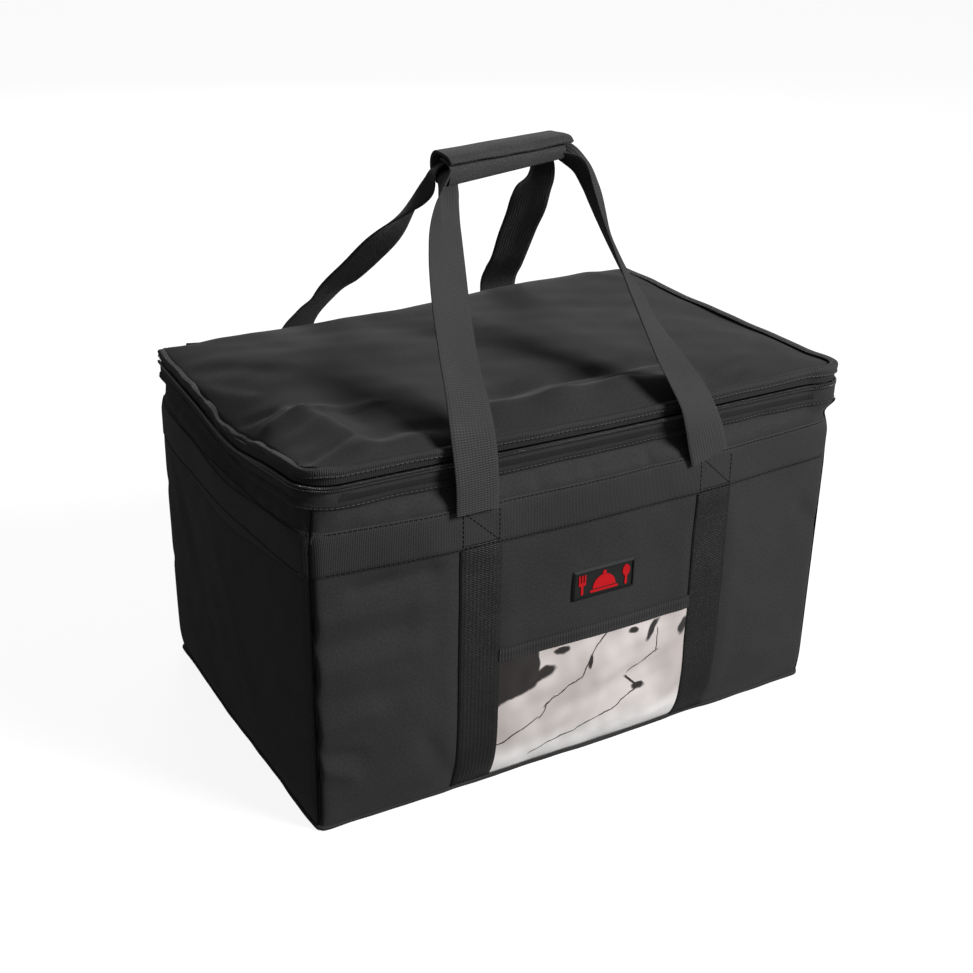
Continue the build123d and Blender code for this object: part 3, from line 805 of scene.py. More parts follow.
def build_seam(name, side):
    """The dark sewn line down a corner."""
    z = np.linspace(0.0075, 0.3270, 110)
    core = wall_points(side, np.zeros_like(z), z)
    out = np.sign(core[:, :2]) / math.sqrt(2)
    tangent = np.stack([-out[:, 1], out[:, 0]], axis=-1)
    loops = []
    for turn in np.linspace(0, 2 * math.pi, 7):
        wide = out * (0.0008 + 0.0012 * math.cos(turn)) + tangent * (0.0013 * math.sin(turn))
        loops.append(core + at_height(wide, np.zeros(len(z))))
    u, v = np.meshgrid(z, np.linspace(0, 0.006, 7))
    return closed(cloth_grid(name, np.array(loops), np.stack([u, v], axis=-1)))


for side in SIDES:
    seam = build_seam(f"{side}_corner_seam", side)
    wear(seam, dark_thread)
    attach(seam, "root")


# ---- the base ----

PAD_STEP = 0.012


def pad_grid(half_x, half_y, low, high, radius):
    """A flat closed pad with rounded corners and edges."""
    nx, ny = round(2 * half_x / PAD_STEP), round(2 * half_y / PAD_STEP)
    a, b = np.meshgrid(np.linspace(-1, 1, nx + 1), np.linspace(-1, 1, ny + 1))
    x, y = rounded_plan(a, b, half_x, half_y, radius)
    top = np.stack([x, y, np.full_like(x, high)], axis=-1)
    under = np.stack([x, y, np.full_like(x, low)], axis=-1)
    return top, under, np.stack([x, y], axis=-1)


def rounded_plan(a, b, half_x, half_y, radius):
    """A square grid from -1 to 1, laid over a rectangle with rounded corners."""
    x, y = a * half_x, b * half_y
    dx, dy = np.abs(x) - (half_x - radius), np.abs(y) - (half_y - radius)
    corner = (dx > 0) & (dy > 0)
    reach = np.maximum(dx, dy)
    size = np.maximum(np.hypot(dx, dy), 1e-9)
    scale = np.where(corner, reach / size, 1.0)
    x = np.where(corner, np.sign(x) * (half_x - radius + dx * scale), x)
    y = np.where(corner, np.sign(y) * (half_y - radius + dy * scale), y)
    return x, y


def slab_from(name, top, under, flat):
    """A closed slab from its two faces: a grid over the top, joined to one under it."""
    upper = cloth_grid(name, top, flat)
    lower = cloth_grid(name + "_under", under, flat)
    in_edit(lower, lambda: bpy.ops.mesh.flip_normals())
    alone(upper)
    lower.select_set(True)
    bpy.ops.object.join()
    alone(upper)
    bpy.ops.object.mode_set(mode="EDIT")
    bpy.ops.mesh.select_mode(type="EDGE")
    bpy.ops.mesh.select_all(action="DESELECT")
    bpy.ops.mesh.select_non_manifold()
    bpy.ops.mesh.bridge_edge_loops()
    bpy.ops.object.mode_set(mode="OBJECT")
    return closed(upper, fill=False)


top, under, flat = pad_grid(HX - 0.0035, HY - 0.0035, 0.0022, 0.0048, 0.006)
base = slab_from("base_cloth", top, under, flat)
wear(base, shell_cloth)
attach(base, "root")
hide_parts("bottom_panel")


def build_piping():
    """The bound seam along the bottom edge: a soft, slightly uneven cord of folded tape."""
    loops = []
    for turn in np.linspace(0, 2 * math.pi, 9):
        ring = []
        for side, (_, _, _, length) in SIDES.items():
            d = side_columns(length)
            z = np.full_like(d, 0.0045)
            plan = wall_points(side, d, z)[:, :2]
            _, direction = ring_point(side, d, HX, HY, 0.02)
            size = 0.0024 + 0.0003 * ripple(plan[:, 0], plan[:, 1], 0.06, 91)
            out = 0.0002 + size * math.cos(turn)
            lift = 0.0031 + size * math.sin(turn)
            ring.append(at_height(plan + direction * out[:, None], lift))
        loops.append(np.concatenate(ring))
    place = np.array(loops)
    run = run_along(place[0])
    u, v = np.meshgrid(run, np.linspace(0, 0.015, 9))
    return closed(cloth_grid("base_piping", place, np.stack([u, v], axis=-1)), fill=False)


piping = build_piping()
wear(piping, edge_tape)
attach(piping, "root")
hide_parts("bottom_binding")


# ---- tracks along the zip's line ----

def zip_line(step=0.003):
    """The zip's line in plan, from the back left, round the front, to the back right: points, directions."""
    hx, hy, r, rear = ZIP_HX, ZIP_HY, ZIP_CORNER, ZIP_REAR
    points, directions = [], []

    def add(point, direction):
        points.append(point)
        directions.append(direction)

    def corner(x, y, first, last):
        for t in np.linspace(first, last, 17):
            add((x + r * math.cos(t), y + r * math.sin(t)), (math.cos(t), math.sin(t)))

    for y in np.linspace(rear, -hy + r, round((rear + hy - r) / step))[:-1]:
        add((-hx, y), (-1, 0))
    corner(-hx + r, -hy + r, math.pi, 1.5 * math.pi)
    for x in np.linspace(-hx + r, hx - r, round(2 * (hx - r) / step))[1:-1]:
        add((x, -hy), (0, -1))
    corner(hx - r, -hy + r, 1.5 * math.pi, 2 * math.pi)
    for y in np.linspace(-hy + r, rear, round((rear + hy - r) / step))[1:]:
        add((hx, y), (1, 0))
    return np.array(points, float), np.array(directions, float)


def track(name, profile, drop=None, wave=None):
    """A closed section, as (outwards, z) points, run along the zip's line. wave adds (outwards, up) to it."""
    points, directions = zip_line()
    x, y = points.T
    out = top_bow(x, y)
    down = droop(x, y) if drop is None else drop(x, y)
    run = run_along(points)
    profile = list(profile) + [profile[0]]
    rows, flat, girth = [], [], 0.0
    for k, (o, z) in enumerate(profile):
        if k:
            girth += math.dist(profile[k], profile[k - 1])
        extra_out, extra_up = wave(run, x, y, k) if wave else (0.0, 0.0)
        plan = points + directions * (out + o + extra_out)[:, None]
        rows.append(at_height(plan, z + down + extra_up))
        flat.append(np.stack([run, np.full_like(run, girth)], axis=-1))
    return closed(cloth_grid(name, np.array(rows), np.array(flat)))


def front_wave(run, x, y, k):
    """The rim tape's slight waviness."""
    return 0.0005 * ripple(run, 0 * run, 0.045, 31), 0.0007 * ripple(run, 0 * run, 0.070, 32)


rim_section = [(0.0024, RIM_LOW), (0.0030, RIM_LOW + 0.0015), (0.0030, 0.3262), (0.0031, 0.3290), (0.0028, 0.3310),
               (0.0018, 0.3322), (0.0008, 0.3324), (-0.0004, 0.3312), (-0.0004, RIM_LOW + 0.002),
               (0.0010, RIM_LOW)]
rim = track("rim_tape", rim_section, wave=front_wave)
wear(rim, rim_web)
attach(rim, "root")
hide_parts("rim_binding")

lower_section = [(0.0006, 0.3305), (0.0016, 0.3320), (0.0014, 0.3430), (-0.0004, 0.3430), (-0.0006, 0.3305)]
lower_tape = track("lower_tape", lower_section)
wear(lower_tape, zip_tape)
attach(lower_tape, "root")
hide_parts("lower_zip_tape")


def lid_drop(x, y):
    """How far the lid's edge hangs below its level place."""
    left = -0.020 * np.exp(-((y + 0.020) / 0.075) ** 2) * smooth((-x - 0.22) / 0.06)
    left += -0.006 * smooth((y - 0.02) / 0.08) * smooth((-x - 0.22) / 0.06)
    front = -0.0030 * np.exp(-((x - 0.02) / 0.13) ** 2) * smooth((-y - 0.14) / 0.04)
    return left + front + back_lift(x, y)


def back_lift(x, y):
    """The lid's back is lower at the left and higher at the right."""
    return smooth((y - 0.06) / 0.10) * (-0.0065 * smooth((x + 0.31) / 0.08) + 0.0105 * smooth((x + 0.05) / 0.22))


def lid_inset(x, y):
    """The slack left edge of the lid has slipped inwards."""
    return 0.0040 * np.exp(-((y + 0.055) / 0.060) ** 2) * smooth((-x - 0.25) / 0.03)


def upper_drop(x, y):
    return 0.5 * droop(x, y) + 0.5 * lid_drop(x, y)


upper_section = [(0.0004, 0.3482), (0.0012, 0.3487), (0.0012, 0.3570), (-0.0006, 0.3570), (-0.0006, 0.3482)]
upper_tape = track("upper_tape", upper_section, drop=upper_drop)
wear(upper_tape, zip_tape)
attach(upper_tape, "lid")
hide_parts("upper_zip_tape")


def ruffle(run, x, y, k):
    """The lid's edge tape: even along the front, in soft waves along the left, standing up along the right."""
    left = smooth((-x - 0.25) / 0.03) * smooth((0.12 - y) / 0.10)
    calm = 1 - left
    out = left * 0.0016 * ripple(run, 0 * run, 0.042, 41) + calm * 0.0005 * ripple(run, 0 * run, 0.05, 42)
    up = left * 0.0013 * ripple(run, 0 * run, 0.036, 43) + calm * 0.0006 * ripple(run, 0 * run, 0.08, 44)
    if k not in (0, 1, 2, 10):
        up = up + 0.0026 * smooth((x - 0.235) / 0.045) * (1 - 0.7 * smooth((y - 0.08) / 0.08))
    return out - lid_inset(x, y), up


lid_section = [(0.0020, 0.3555), (0.0030, 0.3562), (0.0028, 0.3582), (0.0034, 0.3602), (0.0030, 0.3618),
               (0.0012, 0.3628), (-0.0024, 0.3626), (-0.0052, 0.3618), (-0.0052, 0.3606), (-0.0010, 0.3590),
               (0.0008, 0.3565)]
lid_tape = track("lid_edge_tape", lid_section, drop=lid_drop, wave=ruffle)
wear(lid_tape, edge_tape)
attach(lid_tape, "lid")
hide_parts("lid_edge_binding")


# ---- the coil ----

def bevelled_block(size, bevel):
    """One small block, to be copied many times."""
    bpy.ops.mesh.primitive_cube_add(size=1)
    obj = bpy.context.object
    obj.scale = size
    bpy.ops.object.transform_apply(location=False, rotation=False, scale=True)
    in_edit(obj, lambda: bpy.ops.mesh.bevel(offset=bevel, segments=1, affect="EDGES"))
    return obj


tooth = bevelled_block((0.0011, 0.0026, 0.0022), 0.00035)
COIL_PITCH = 0.00165
COIL_OUT = 0.0026


def coil(name, z, drop, shift, body, node):
    """One half of the zip's teeth. shift moves them along by a share of their pitch."""
    fine, directions = zip_line(0.0004)
    run = run_along(fine)
    at = np.arange(shift * COIL_PITCH, run[-1], COIL_PITCH)
    x, y = np.interp(at, run, fine[:, 0]), np.interp(at, run, fine[:, 1])
    o = unit(np.stack([np.interp(at, run, column) for column in directions.T], axis=-1))
    bow = top_bow(x, y)
    origin = np.stack([x + o[:, 0] * (bow + COIL_OUT), y + o[:, 1] * (bow + COIL_OUT), z + drop(x, y)], axis=-1)
    out = at_height(o, np.zeros(len(o)))
    forward = np.stack([-out[:, 1], out[:, 0], 0 * out[:, 0]], axis=-1)
    lean = 0.25 if shift == 0 else -0.25
    upward = unit(np.array([0, 0, 1.0]) + lean * forward)
    obj = many(name, tooth, (origin, forward, out, upward))
    wear(obj, coil_plastic, 40)
    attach(obj, body)
    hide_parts(node)


coil("lower_coil", 0.3438, droop, 0, "root", "lower_zip_coil")
coil("upper_coil", 0.3466, upper_drop, 0.5, "lid", "upper_zip_coil")

# ---- the lid ----

EDGE_REACH = 0.045        # how far in from its edge the lid still follows the edge's rise and fall
LID_THICK = 0.0030
# Folds in the lid: (from, to, height, narrow, wide), in x and y
LID_FOLDS = [
    # a sharp-edged facet near the front left corner
    ((-0.276, -0.074), (-0.244, -0.082), 0.0050, 0.007, 0.020),
    ((-0.246, -0.080), (-0.228, -0.142), 0.0055, 0.006, 0.022),
    ((-0.205, -0.095), (-0.205, -0.150), -0.0060, 0.018, 0.018),
    ((-0.232, -0.150), (-0.272, -0.166), -0.0035, 0.005, 0.008),
    ((-0.244, -0.080), (-0.180, -0.090), 0.0034, 0.010, 0.005),
    ((-0.262, -0.120), (-0.240, -0.112), 0.0022, 0.010, 0.012),
    ((-0.278, -0.030), (-0.262, -0.045), -0.0042, 0.006, 0.008),
    ((-0.285, 0.056), (-0.262, 0.000), 0.0034, 0.006, 0.010),
    ((-0.272, 0.090), (-0.235, 0.040), -0.0026, 0.010, 0.014),
    # swelling beside the front left strap
    ((-0.222, -0.172), (-0.182, -0.170), 0.0060, 0.012, 0.016),
    ((-0.176, -0.150), (-0.150, -0.160), -0.0035, 0.010, 0.010),
    # the ridge behind the front edge, and the hollow behind it
    ((-0.085, -0.148), (-0.020, -0.154), 0.0075, 0.012, 0.020),
    ((-0.020, -0.154), (0.045, -0.152), 0.0075, 0.012, 0.020),
    ((0.045, -0.152), (0.110, -0.160), 0.0055, 0.010, 0.018),
    ((-0.075, -0.126), (0.010, -0.116), -0.0045, 0.014, 0.008),
    ((0.010, -0.116), (0.118, -0.112), -0.0065, 0.014, 0.008),
    ((0.120, -0.110), (0.140, -0.080), -0.0035, 0.016, 0.016),
    # long soft folds
    ((-0.150, 0.050), (0.120, -0.020), 0.0016, 0.030, 0.045),
    ((0.100, 0.090), (0.240, 0.010), -0.0022, 0.020, 0.030),
    ((0.190, -0.165), (0.262, -0.100), 0.0030, 0.012, 0.020),
    ((0.150, -0.165), (0.200, -0.150), -0.0022, 0.010, 0.014),
    ((-0.120, 0.140), (-0.020, 0.165), 0.0018, 0.020, 0.025),
    ((0.230, 0.160), (0.270, 0.120), 0.0025, 0.012, 0.016),
]


def lid_push(x, y):
    """Where a point of the lid's plan lies once its edge follows the bowed rim."""
    bow = top_bow(x, y)
    at_left, at_right = smooth((-x - 0.24) / 0.04), smooth((x - 0.24) / 0.04)
    at_front = smooth((-y - 0.14) / 0.04)
    out_x, out_y = at_right - at_left, -at_front
    size = np.maximum(np.hypot(out_x, out_y), 1.0)
    return x + bow * out_x / size + lid_inset(x, y), y + bow * out_y / size


def from_edge(x, y):
    """How far a point of the lid lies inside its edge."""
    return np.clip(np.minimum(ZIP_HX - np.abs(x), ZIP_HY - np.abs(y)), 0, 1)


def lid_height(x, y):
    e = from_edge(x, y)
    reach = np.exp(-e / EDGE_REACH)
    z = LID_EDGE + (lid_drop(x, y) - back_lift(x, y)) * reach + back_lift(x, y)
    low_right = np.exp(-np.clip(ZIP_HX - x, 0, 1) / EDGE_REACH)
    z = z + 0.0090 * (1 - np.exp(-e / 0.016)) * (1 - 0.70 * low_right)
    z = z + 0.0030 * (1 - (x / HX) ** 4) * (1 - (y / HY) ** 4)
    hold = smooth(e / 0.018)
    z = z + hold * (0.0012 * ripple(x, y, 0.110, 51) + 0.0005 * ripple(x, y, 0.045, 52))
    for start, end, height, narrow, wide in LID_FOLDS:
        z = z + crease(x, y, start, end, 0.75 * height, narrow, wide) * smooth(e / 0.014)
    return z


def build_lid():
    a, b = np.meshgrid(np.linspace(-1, 1, 171), np.linspace(-1, 1, 113))
    half_x, half_y = ZIP_HX - 0.0015, ZIP_HY - 0.0015
    round_front = rounded_plan(a, b, half_x, half_y, ZIP_CORNER)
    square_back = rounded_plan(a, b, half_x, half_y, 0.008)
    x, y = (np.where(b > 0, back, front) for front, back in zip(round_front, square_back))
    z = lid_height(x, y)
    x, y = lid_push(x, y)
    top = np.stack([x, y, z], axis=-1)
    under = top - np.array([0, 0, LID_THICK])
    return slab_from("lid_cloth_top", top, under, np.stack([x, y], axis=-1))


lid = build_lid()
wear(lid, lid_cloth, 70)
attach(lid, "lid")
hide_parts("lid_panel", "lid_foam")

# ---- lining ----

top, under, flat = pad_grid(ZIP_HX - 0.004, ZIP_HY - 0.004, 0.3512, 0.3537, ZIP_CORNER)
lift = lid_drop(top[..., 0], top[..., 1]) * np.exp(-from_edge(top[..., 0], top[..., 1]) / EDGE_REACH)
top[..., 2] += lift
under[..., 2] += lift
lid_lining = slab_from("lid_lining", top, under, flat)
wear(lid_lining, lining_foil)
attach(lid_lining, "lid")
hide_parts("lid_liner")


def build_lining():
    rows = [(0.3405, 0.0085), (0.3395, 0.0120), (0.30, 0.0122), (0.24, 0.0118), (0.16, 0.0124), (0.08, 0.0118),
            (0.0185, 0.0135), (0.0150, 0.0180)]
    grids, flats, reach = [], [], 0.0
    for side, (_, _, _, length) in SIDES.items():
        d = np.linspace(0, length, round(length / 0.008) + 1)
        face, back = [], []
        for z, inset in rows:
            for rows_out, more in ((face, 0.0), (back, -0.0008)):
                plan, _ = ring_point(side, d, HX - inset - more, HY - inset - more, 0.016)
                drop = wall_drop(plan[:, 0], plan[:, 1], z)
                rows_out.append(at_height(plan, np.full_like(d, z) + drop))
        grid = np.array(face + back[::-1] + face[:1])
        heights = run_along(grid[:, 5])
        u, v = np.meshgrid(d + reach, heights)
        grids.append(grid)
        flats.append(np.stack([u, v], axis=-1))
        reach += length
    obj = cloth_grid("wall_lining", np.concatenate(grids, axis=1), np.concatenate(flats, axis=1))
    return closed(obj, fill=False)


lining = build_lining()
wear(lining, lining_foil)
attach(lining, "root")
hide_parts("liner_walls")
top, under, flat = pad_grid(HX - 0.0128, HY - 0.0128, 0.0135, 0.0165, 0.016)
floor_lining = slab_from("floor_lining", top, under, flat)
wear(floor_lining, lining_foil)
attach(floor_lining, "root")
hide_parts("liner_floor")


HINGE_HALF = 0.258
HINGE_LOW, HINGE_TALL = 0.3365, 0.0238


def build_hinge():
    """The back panel's cloth, carried up to the lid."""
    x = np.linspace(-HINGE_HALF, HINGE_HALF, 130)
    xx, part = np.meshgrid(x, np.linspace(0, 1, 9))
    zz = HINGE_LOW + part * (HINGE_TALL + back_lift(xx, HY))
    y = (0.1895 + 0.0010 * np.exp(-((zz - 0.350) / 0.007) ** 2) + 0.0005 * ripple(xx, zz, 0.05, 61)
         - 0.0035 * smooth((part - 0.72) / 0.28))
    outer = np.stack([xx, y, zz], axis=-1)
    inner = outer - np.array([0, 0.0012, 0])
    return strip("hinge_cloth", outer[:, ::-1], inner[:, ::-1], x - x[0], np.linspace(0, 0.024, 9))


hinge = build_hinge()
wear(hinge, shell_cloth)
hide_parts("back_hinge_strip")
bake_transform(hinge)

# ---- pocket ----

POCKET_HALF = STRAP_X - STRAP_WIDTH / 2


def build_film():
    x = np.linspace(-POCKET_HALF - 0.002, POCKET_HALF + 0.002, 60)
    z = np.linspace(0.0055, FILM_TALL, 44)
    xx, zz = np.meshgrid(x, z)
    loose = smooth((POCKET_HALF - np.abs(xx)) / 0.02) * smooth((zz - 0.005) / 0.02)
    lift = 0.0006 + loose * np.maximum(0, 0.0008 + 0.0008 * ripple(xx + 0.6 * zz, zz - 0.9 * xx, 0.055, 71)
                                       + 0.0004 * ripple(xx, zz, 0.022, 72))
    outer = on_wall("front", xx, zz, lift)
    inner = outer + np.array([0, 0.0004, 0])
    return strip("pocket_window", outer, inner, x - x[0], z - z[0])


film = build_film()
wear(film, window_film, 80)
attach(film, "root")
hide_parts("pocket_film")
trim = laid("pocket_tape_strip", "front", -POCKET_HALF - 0.001, POCKET_HALF + 0.001, 0.141, 0.155, 0.0022)
wear(trim, pocket_tape)
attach(trim, "root")
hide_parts("pocket_trim")

# ---- badge ----

BADGE_LOW, BADGE_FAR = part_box("badge_patch")
BADGE_SIZE = BADGE_FAR - BADGE_LOW
BADGE_THICK = 0.0060


def build_badge():
    nothing_selected()
    middle = (BADGE_LOW + BADGE_FAR) / 2
    bpy.ops.mesh.primitive_cube_add(size=1, location=(middle.x, BADGE_LOW.y + BADGE_THICK / 2, middle.z))
    obj = bpy.context.object
    obj.name = "badge"
    obj.scale = (BADGE_SIZE.x, BADGE_THICK, BADGE_SIZE.z)
    bpy.ops.object.transform_apply(location=True, rotation=False, scale=True)
    alone(obj)
    bpy.ops.object.mode_set(mode="EDIT")
    bpy.ops.mesh.select_all(action="DESELECT")
    bpy.ops.object.mode_set(mode="OBJECT")
    for e in obj.data.edges:
        a, b = (obj.data.vertices[k].co for k in e.vertices)
        e.select = abs(a.y - b.y) > 0.004
    bpy.ops.object.mode_set(mode="EDIT")
    bpy.ops.mesh.select_mode(type="EDGE")
    bpy.ops.mesh.bevel(offset=0.003, segments=4, affect="EDGES")
    bpy.ops.mesh.select_all(action="DESELECT")
    bpy.ops.object.mode_set(mode="OBJECT")
    for p in obj.data.polygons:
        p.select = p.normal.y < -0.9
    bpy.ops.object.mode_set(mode="EDIT")
    bpy.ops.mesh.select_mode(type="FACE")
    bpy.ops.mesh.inset(thickness=0.0006)
    bpy.ops.transform.translate(value=(0, -0.0005, 0))
    bpy.ops.mesh.inset(thickness=0.0013)
    bpy.ops.mesh.inset(thickness=0.0004)
    bpy.ops.transform.translate(value=(0, 0.0012, 0))
    bpy.ops.object.mode_set(mode="OBJECT")
    return closed(obj, fill=False)


badge = build_badge()
wear(badge, patch_rubber, 40)
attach(badge, "root")
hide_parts("badge_patch")


# ---- handles ----

# Centre line of each handle, then the direction across, and how far the strap is folded lengthwise in degrees
HANDLES = {
    "front": [
        (-0.1366, -0.2078, 0.3035, 1, 0, 0.01, 0),
        (-0.1369, -0.2065, 0.3342, 1, 0, 0.01, 0),
        (-0.1371, -0.2027, 0.3555, 1, -0.04, -0, 0),
        (-0.1365, -0.1958, 0.3753, 0.99, -0.07, -0.11, 0),
        (-0.1317, -0.1803, 0.3913, 0.98, -0.07, -0.21, 0),
        (-0.1228, -0.1458, 0.423, 0.95, 0.01, -0.32, 2),
        (-0.1111, -0.1103, 0.4552, 0.94, 0.01, -0.35, 4),
        (-0.0988, -0.0778, 0.4896, 0.92, 0.06, -0.39, 8),
        (-0.092, -0.0615, 0.5071, 0.87, 0.11, -0.47, 14),
        (-0.084, -0.045, 0.5247, 0.76, 0.23, -0.61, 28),
        (-0.0745, -0.029, 0.541, 0.59, 0.37, -0.71, 50),
        (-0.062, -0.01, 0.551, 0.25, 0.1, -0.95, 74),
        (-0.04, -0.0079, 0.5517, 0, -0.05, -1, 84),
        (0, -0.0079, 0.5556, 0, -0.05, -1, 85),
        (0.04, -0.0079, 0.5595, 0, -0.1, -1, 84),
        (0.056, -0.0085, 0.5612, 0, -0.45, -0.85, 78),
        (0.0635, -0.015, 0.5572, -0.4, -0.7, -0.5, 66),
        (0.0735, -0.0255, 0.5478, -0.71, -0.65, 0.27, 60),
        (0.0791, -0.0337, 0.5331, -0.72, -0.57, 0.4, 48),
        (0.0787, -0.0503, 0.5156, -0.67, -0.53, 0.52, 34),
        (0.078, -0.067, 0.4983, -0.62, -0.56, 0.55, 20),
        (0.0785, -0.0842, 0.4812, -0.64, -0.55, 0.53, 14),
        (0.0796, -0.1018, 0.4643, -0.69, -0.54, 0.48, 10),
        (0.0823, -0.1193, 0.4474, -0.79, -0.47, 0.4, 8),
        (0.0832, -0.1366, 0.4308, -0.82, -0.44, 0.38, 6),
        (0.0856, -0.1541, 0.4143, -0.88, -0.41, 0.26, 4),
        (0.0895, -0.1715, 0.3977, -0.94, -0.33, 0.11, 2),
        (0.0939, -0.1887, 0.381, -0.95, -0.3, -0.04, 0),
        (0.1003, -0.2005, 0.3623, -0.95, -0.27, -0.17, 0),
        (0.1055, -0.2055, 0.344, -0.95, -0.15, -0.26, 0),
        (0.1115, -0.207, 0.325, -0.96, -0.02, -0.28, 0),
        (0.1175, -0.2078, 0.3035, -0.96, -0.01, -0.27, 0),
    ],
    "back": [
        (-0.13, 0.205, 0.3035, 1, 0, -0.03, 0),
        (-0.129, 0.2045, 0.34, 0.96, 0.19, -0.19, 0),
        (-0.1175, 0.2006, 0.3617, 0.81, 0.49, -0.32, 0),
        (-0.1035, 0.1889, 0.3813, 0.93, 0.36, -0.02, 0),
        (-0.0979, 0.1534, 0.4093, 0.99, 0.09, -0.07, 0),
        (-0.0928, 0.1145, 0.4385, 1, 0.05, -0.08, 0),
        (-0.0877, 0.0671, 0.4769, 0.99, 0.11, -0.03, 2),
        (-0.0829, 0.0397, 0.5043, 0.9, 0.39, 0.21, 6),
        (-0.0783, 0.0194, 0.5258, 0.69, 0.61, 0.38, 20),
        (-0.0738, 0.0072, 0.5394, 0.61, 0.68, 0.41, 40),
        (-0.062, -0.0005, 0.556, 0.4, 0.1, -0.9, 70),
        (-0.04, -0.001, 0.5607, 0, 0.05, -1, 84),
        (0, -0.001, 0.5632, 0, 0.05, -1, 84),
        (0.025, -0.0005, 0.564, -0.1, 0.1, -1, 80),
        (0.042, 0.003, 0.556, -0.6, 0.1, -0.6, 58),
        (0.05, 0.011, 0.5402, -0.98, -0.02, -0.18, 34),
        (0.052, 0.017, 0.5289, -0.99, 0.13, -0.1, 16),
        (0.0547, 0.0269, 0.5151, -0.97, 0.23, -0.11, 8),
        (0.0637, 0.049, 0.4918, -0.95, 0.3, -0.08, 5),
        (0.0791, 0.0889, 0.4593, -0.95, 0.3, -0.11, 4),
        (0.1052, 0.1502, 0.4114, -0.95, 0.29, -0.13, 3),
        (0.1145, 0.1746, 0.3927, -0.95, 0.3, -0.04, 2),
        (0.1222, 0.1997, 0.3661, -0.97, 0.24, -0.07, 0),
        (0.1255, 0.2045, 0.34, -0.99, 0.08, -0.12, 0),
        (0.13, 0.205, 0.3035, -0.99, 0, -0.12, 0),
    ],
}
HANDLE_WIDTH = 0.0425
ROOT_TOP = 0.340


def handle_faces(stations):
    """The two faces of a handle's webbing, as rows across it and columns along it."""
    line = through(stations, 420)
    centre, across, fold = line[:, :3], unit(line[:, 3:6]), np.radians(line[:, 6])
    along = unit(np.gradient(centre, axis=0))
    across = unit(across - along * np.sum(across * along, axis=1, keepdims=True))
    out = unit(np.cross(along, across))
    outer, inner = [], []
    rows = np.array([-1.0, -0.97, -0.8, -0.6, -0.4, -0.22, -0.08, 0.08, 0.22, 0.4, 0.6, 0.8, 0.97, 1.0])
    for t in rows:
        c, s = np.cos(fold), np.sin(fold)
        soft = math.sqrt(t * t + 0.012) - math.sqrt(0.012)
        mid = (centre + across * (HANDLE_WIDTH / 2 * t * c)[:, None]
               - out * (HANDLE_WIDTH / 2 * (soft - 0.30) * s)[:, None])
        lean = unit(out * c[:, None] + across * (s * np.sign(t) * min(1.0, abs(t) / 0.1))[:, None])
        half = HANDLE_WEB / 2 * (0.45 if abs(t) == 1 else 1.0)
        outer.append(mid + lean * half)
        inner.append(mid - lean * half)
    run = run_along(centre)
    return np.array(outer), np.array(inner), run, rows * HANDLE_WIDTH / 2, centre[:, 2]


for face, stations in HANDLES.items():
    outer, inner, run, across, heights = handle_faces(stations)
    high = heights > ROOT_TOP
    first, last = int(np.argmax(high)), len(high) - int(np.argmax(high[::-1]))
    parts = {
        f"{face}_left_root_strap": (0, first + 1, [f"{face}_left_strap_root"]),
        f"{face}_handle_strap": (first, last, [f"{face}_left_handle_leg", f"{face}_right_handle_leg",
                                               f"{face}_grip_webbing"]),
        f"{face}_right_root_strap": (last - 1, len(run), [f"{face}_right_strap_root"]),
    }
    for name, (i, j, stood_for) in parts.items():
        piece = strip(name, outer[:, i:j], inner[:, i:j], run[i:j], across)
        wear(piece, handle_web)
        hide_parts(*stood_for)
        if "handle" in name:
            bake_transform(piece)
        else:
            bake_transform(piece)

# ---- the padded wrap ----


WRAP_ROWS = 60


def wrap_sheet(name, line, half, thickness, puff, bow=None):
    """A padded sheet, bent along a line of (y, z) points. Its ends have sewn channels across them."""
    path = through([(y, z, 0.0) for y, z in line], WRAP_ROWS)[:, :2]
    tangent = unit(np.gradient(path, axis=0))
    normal = np.stack([-tangent[:, 1], tangent[:, 0]], axis=-1)
    xs = np.linspace(-half, half, 96)
    t = np.linspace(0, 1, WRAP_ROWS)
    run = run_along(path)
    xx, tt = np.meshgrid(xs, t)
    end = half - np.abs(xx)
    side = np.minimum(run[:, None] + 0 * xx, run[-1] - run[:, None] + 0 * xx)
    swell = smooth(end / 0.006) * smooth(side / 0.006)
    for groove in (0.0045, 0.0085):
        swell = swell - 0.75 * np.exp(-((end - groove) / 0.0009) ** 2)
    swell = swell - 0.55 * np.exp(-((side - 0.0035) / 0.0009) ** 2) * smooth(end / 0.01)
    thick = thickness * (0.55 + 0.45 * smooth(np.minimum(end, side) / 0.002)) + puff * swell
    thick = thick + 0.0003 * ripple(xx, run[:, None] + 0 * xx, 0.02, 81)
    lift = np.zeros_like(xx) if bow is None else bow(xx, tt)
    base_y, base_z = path[:, 0][:, None] + 0 * xx, path[:, 1][:, None] + 0 * xx
    ny, nz = normal[:, 0][:, None], normal[:, 1][:, None]
    outer = np.stack([xx, base_y + ny * (thick / 2 + lift), base_z + nz * (thick / 2 + lift)], axis=-1)
    inner = np.stack([xx, base_y - ny * (thickness / 2 - lift), base_z - nz * (thickness / 2 - lift)], axis=-1)
    return strip(name, outer, inner, xs + half, run)


GRIP_HALF = 0.067
GRIP_LEFT = -GRIP_HALF
GRIP_RISE = 0.063         # slope
GRIP_SHARE = 0.945        # of its straight length


def tilted(co):
    """The grip hangs a little higher at its right end, and is shorter there than its straight length."""
    along = co[:, 0] - GRIP_LEFT
    return np.stack([GRIP_LEFT + GRIP_SHARE * along, co[:, 1], co[:, 2] + GRIP_RISE * along], axis=-1)


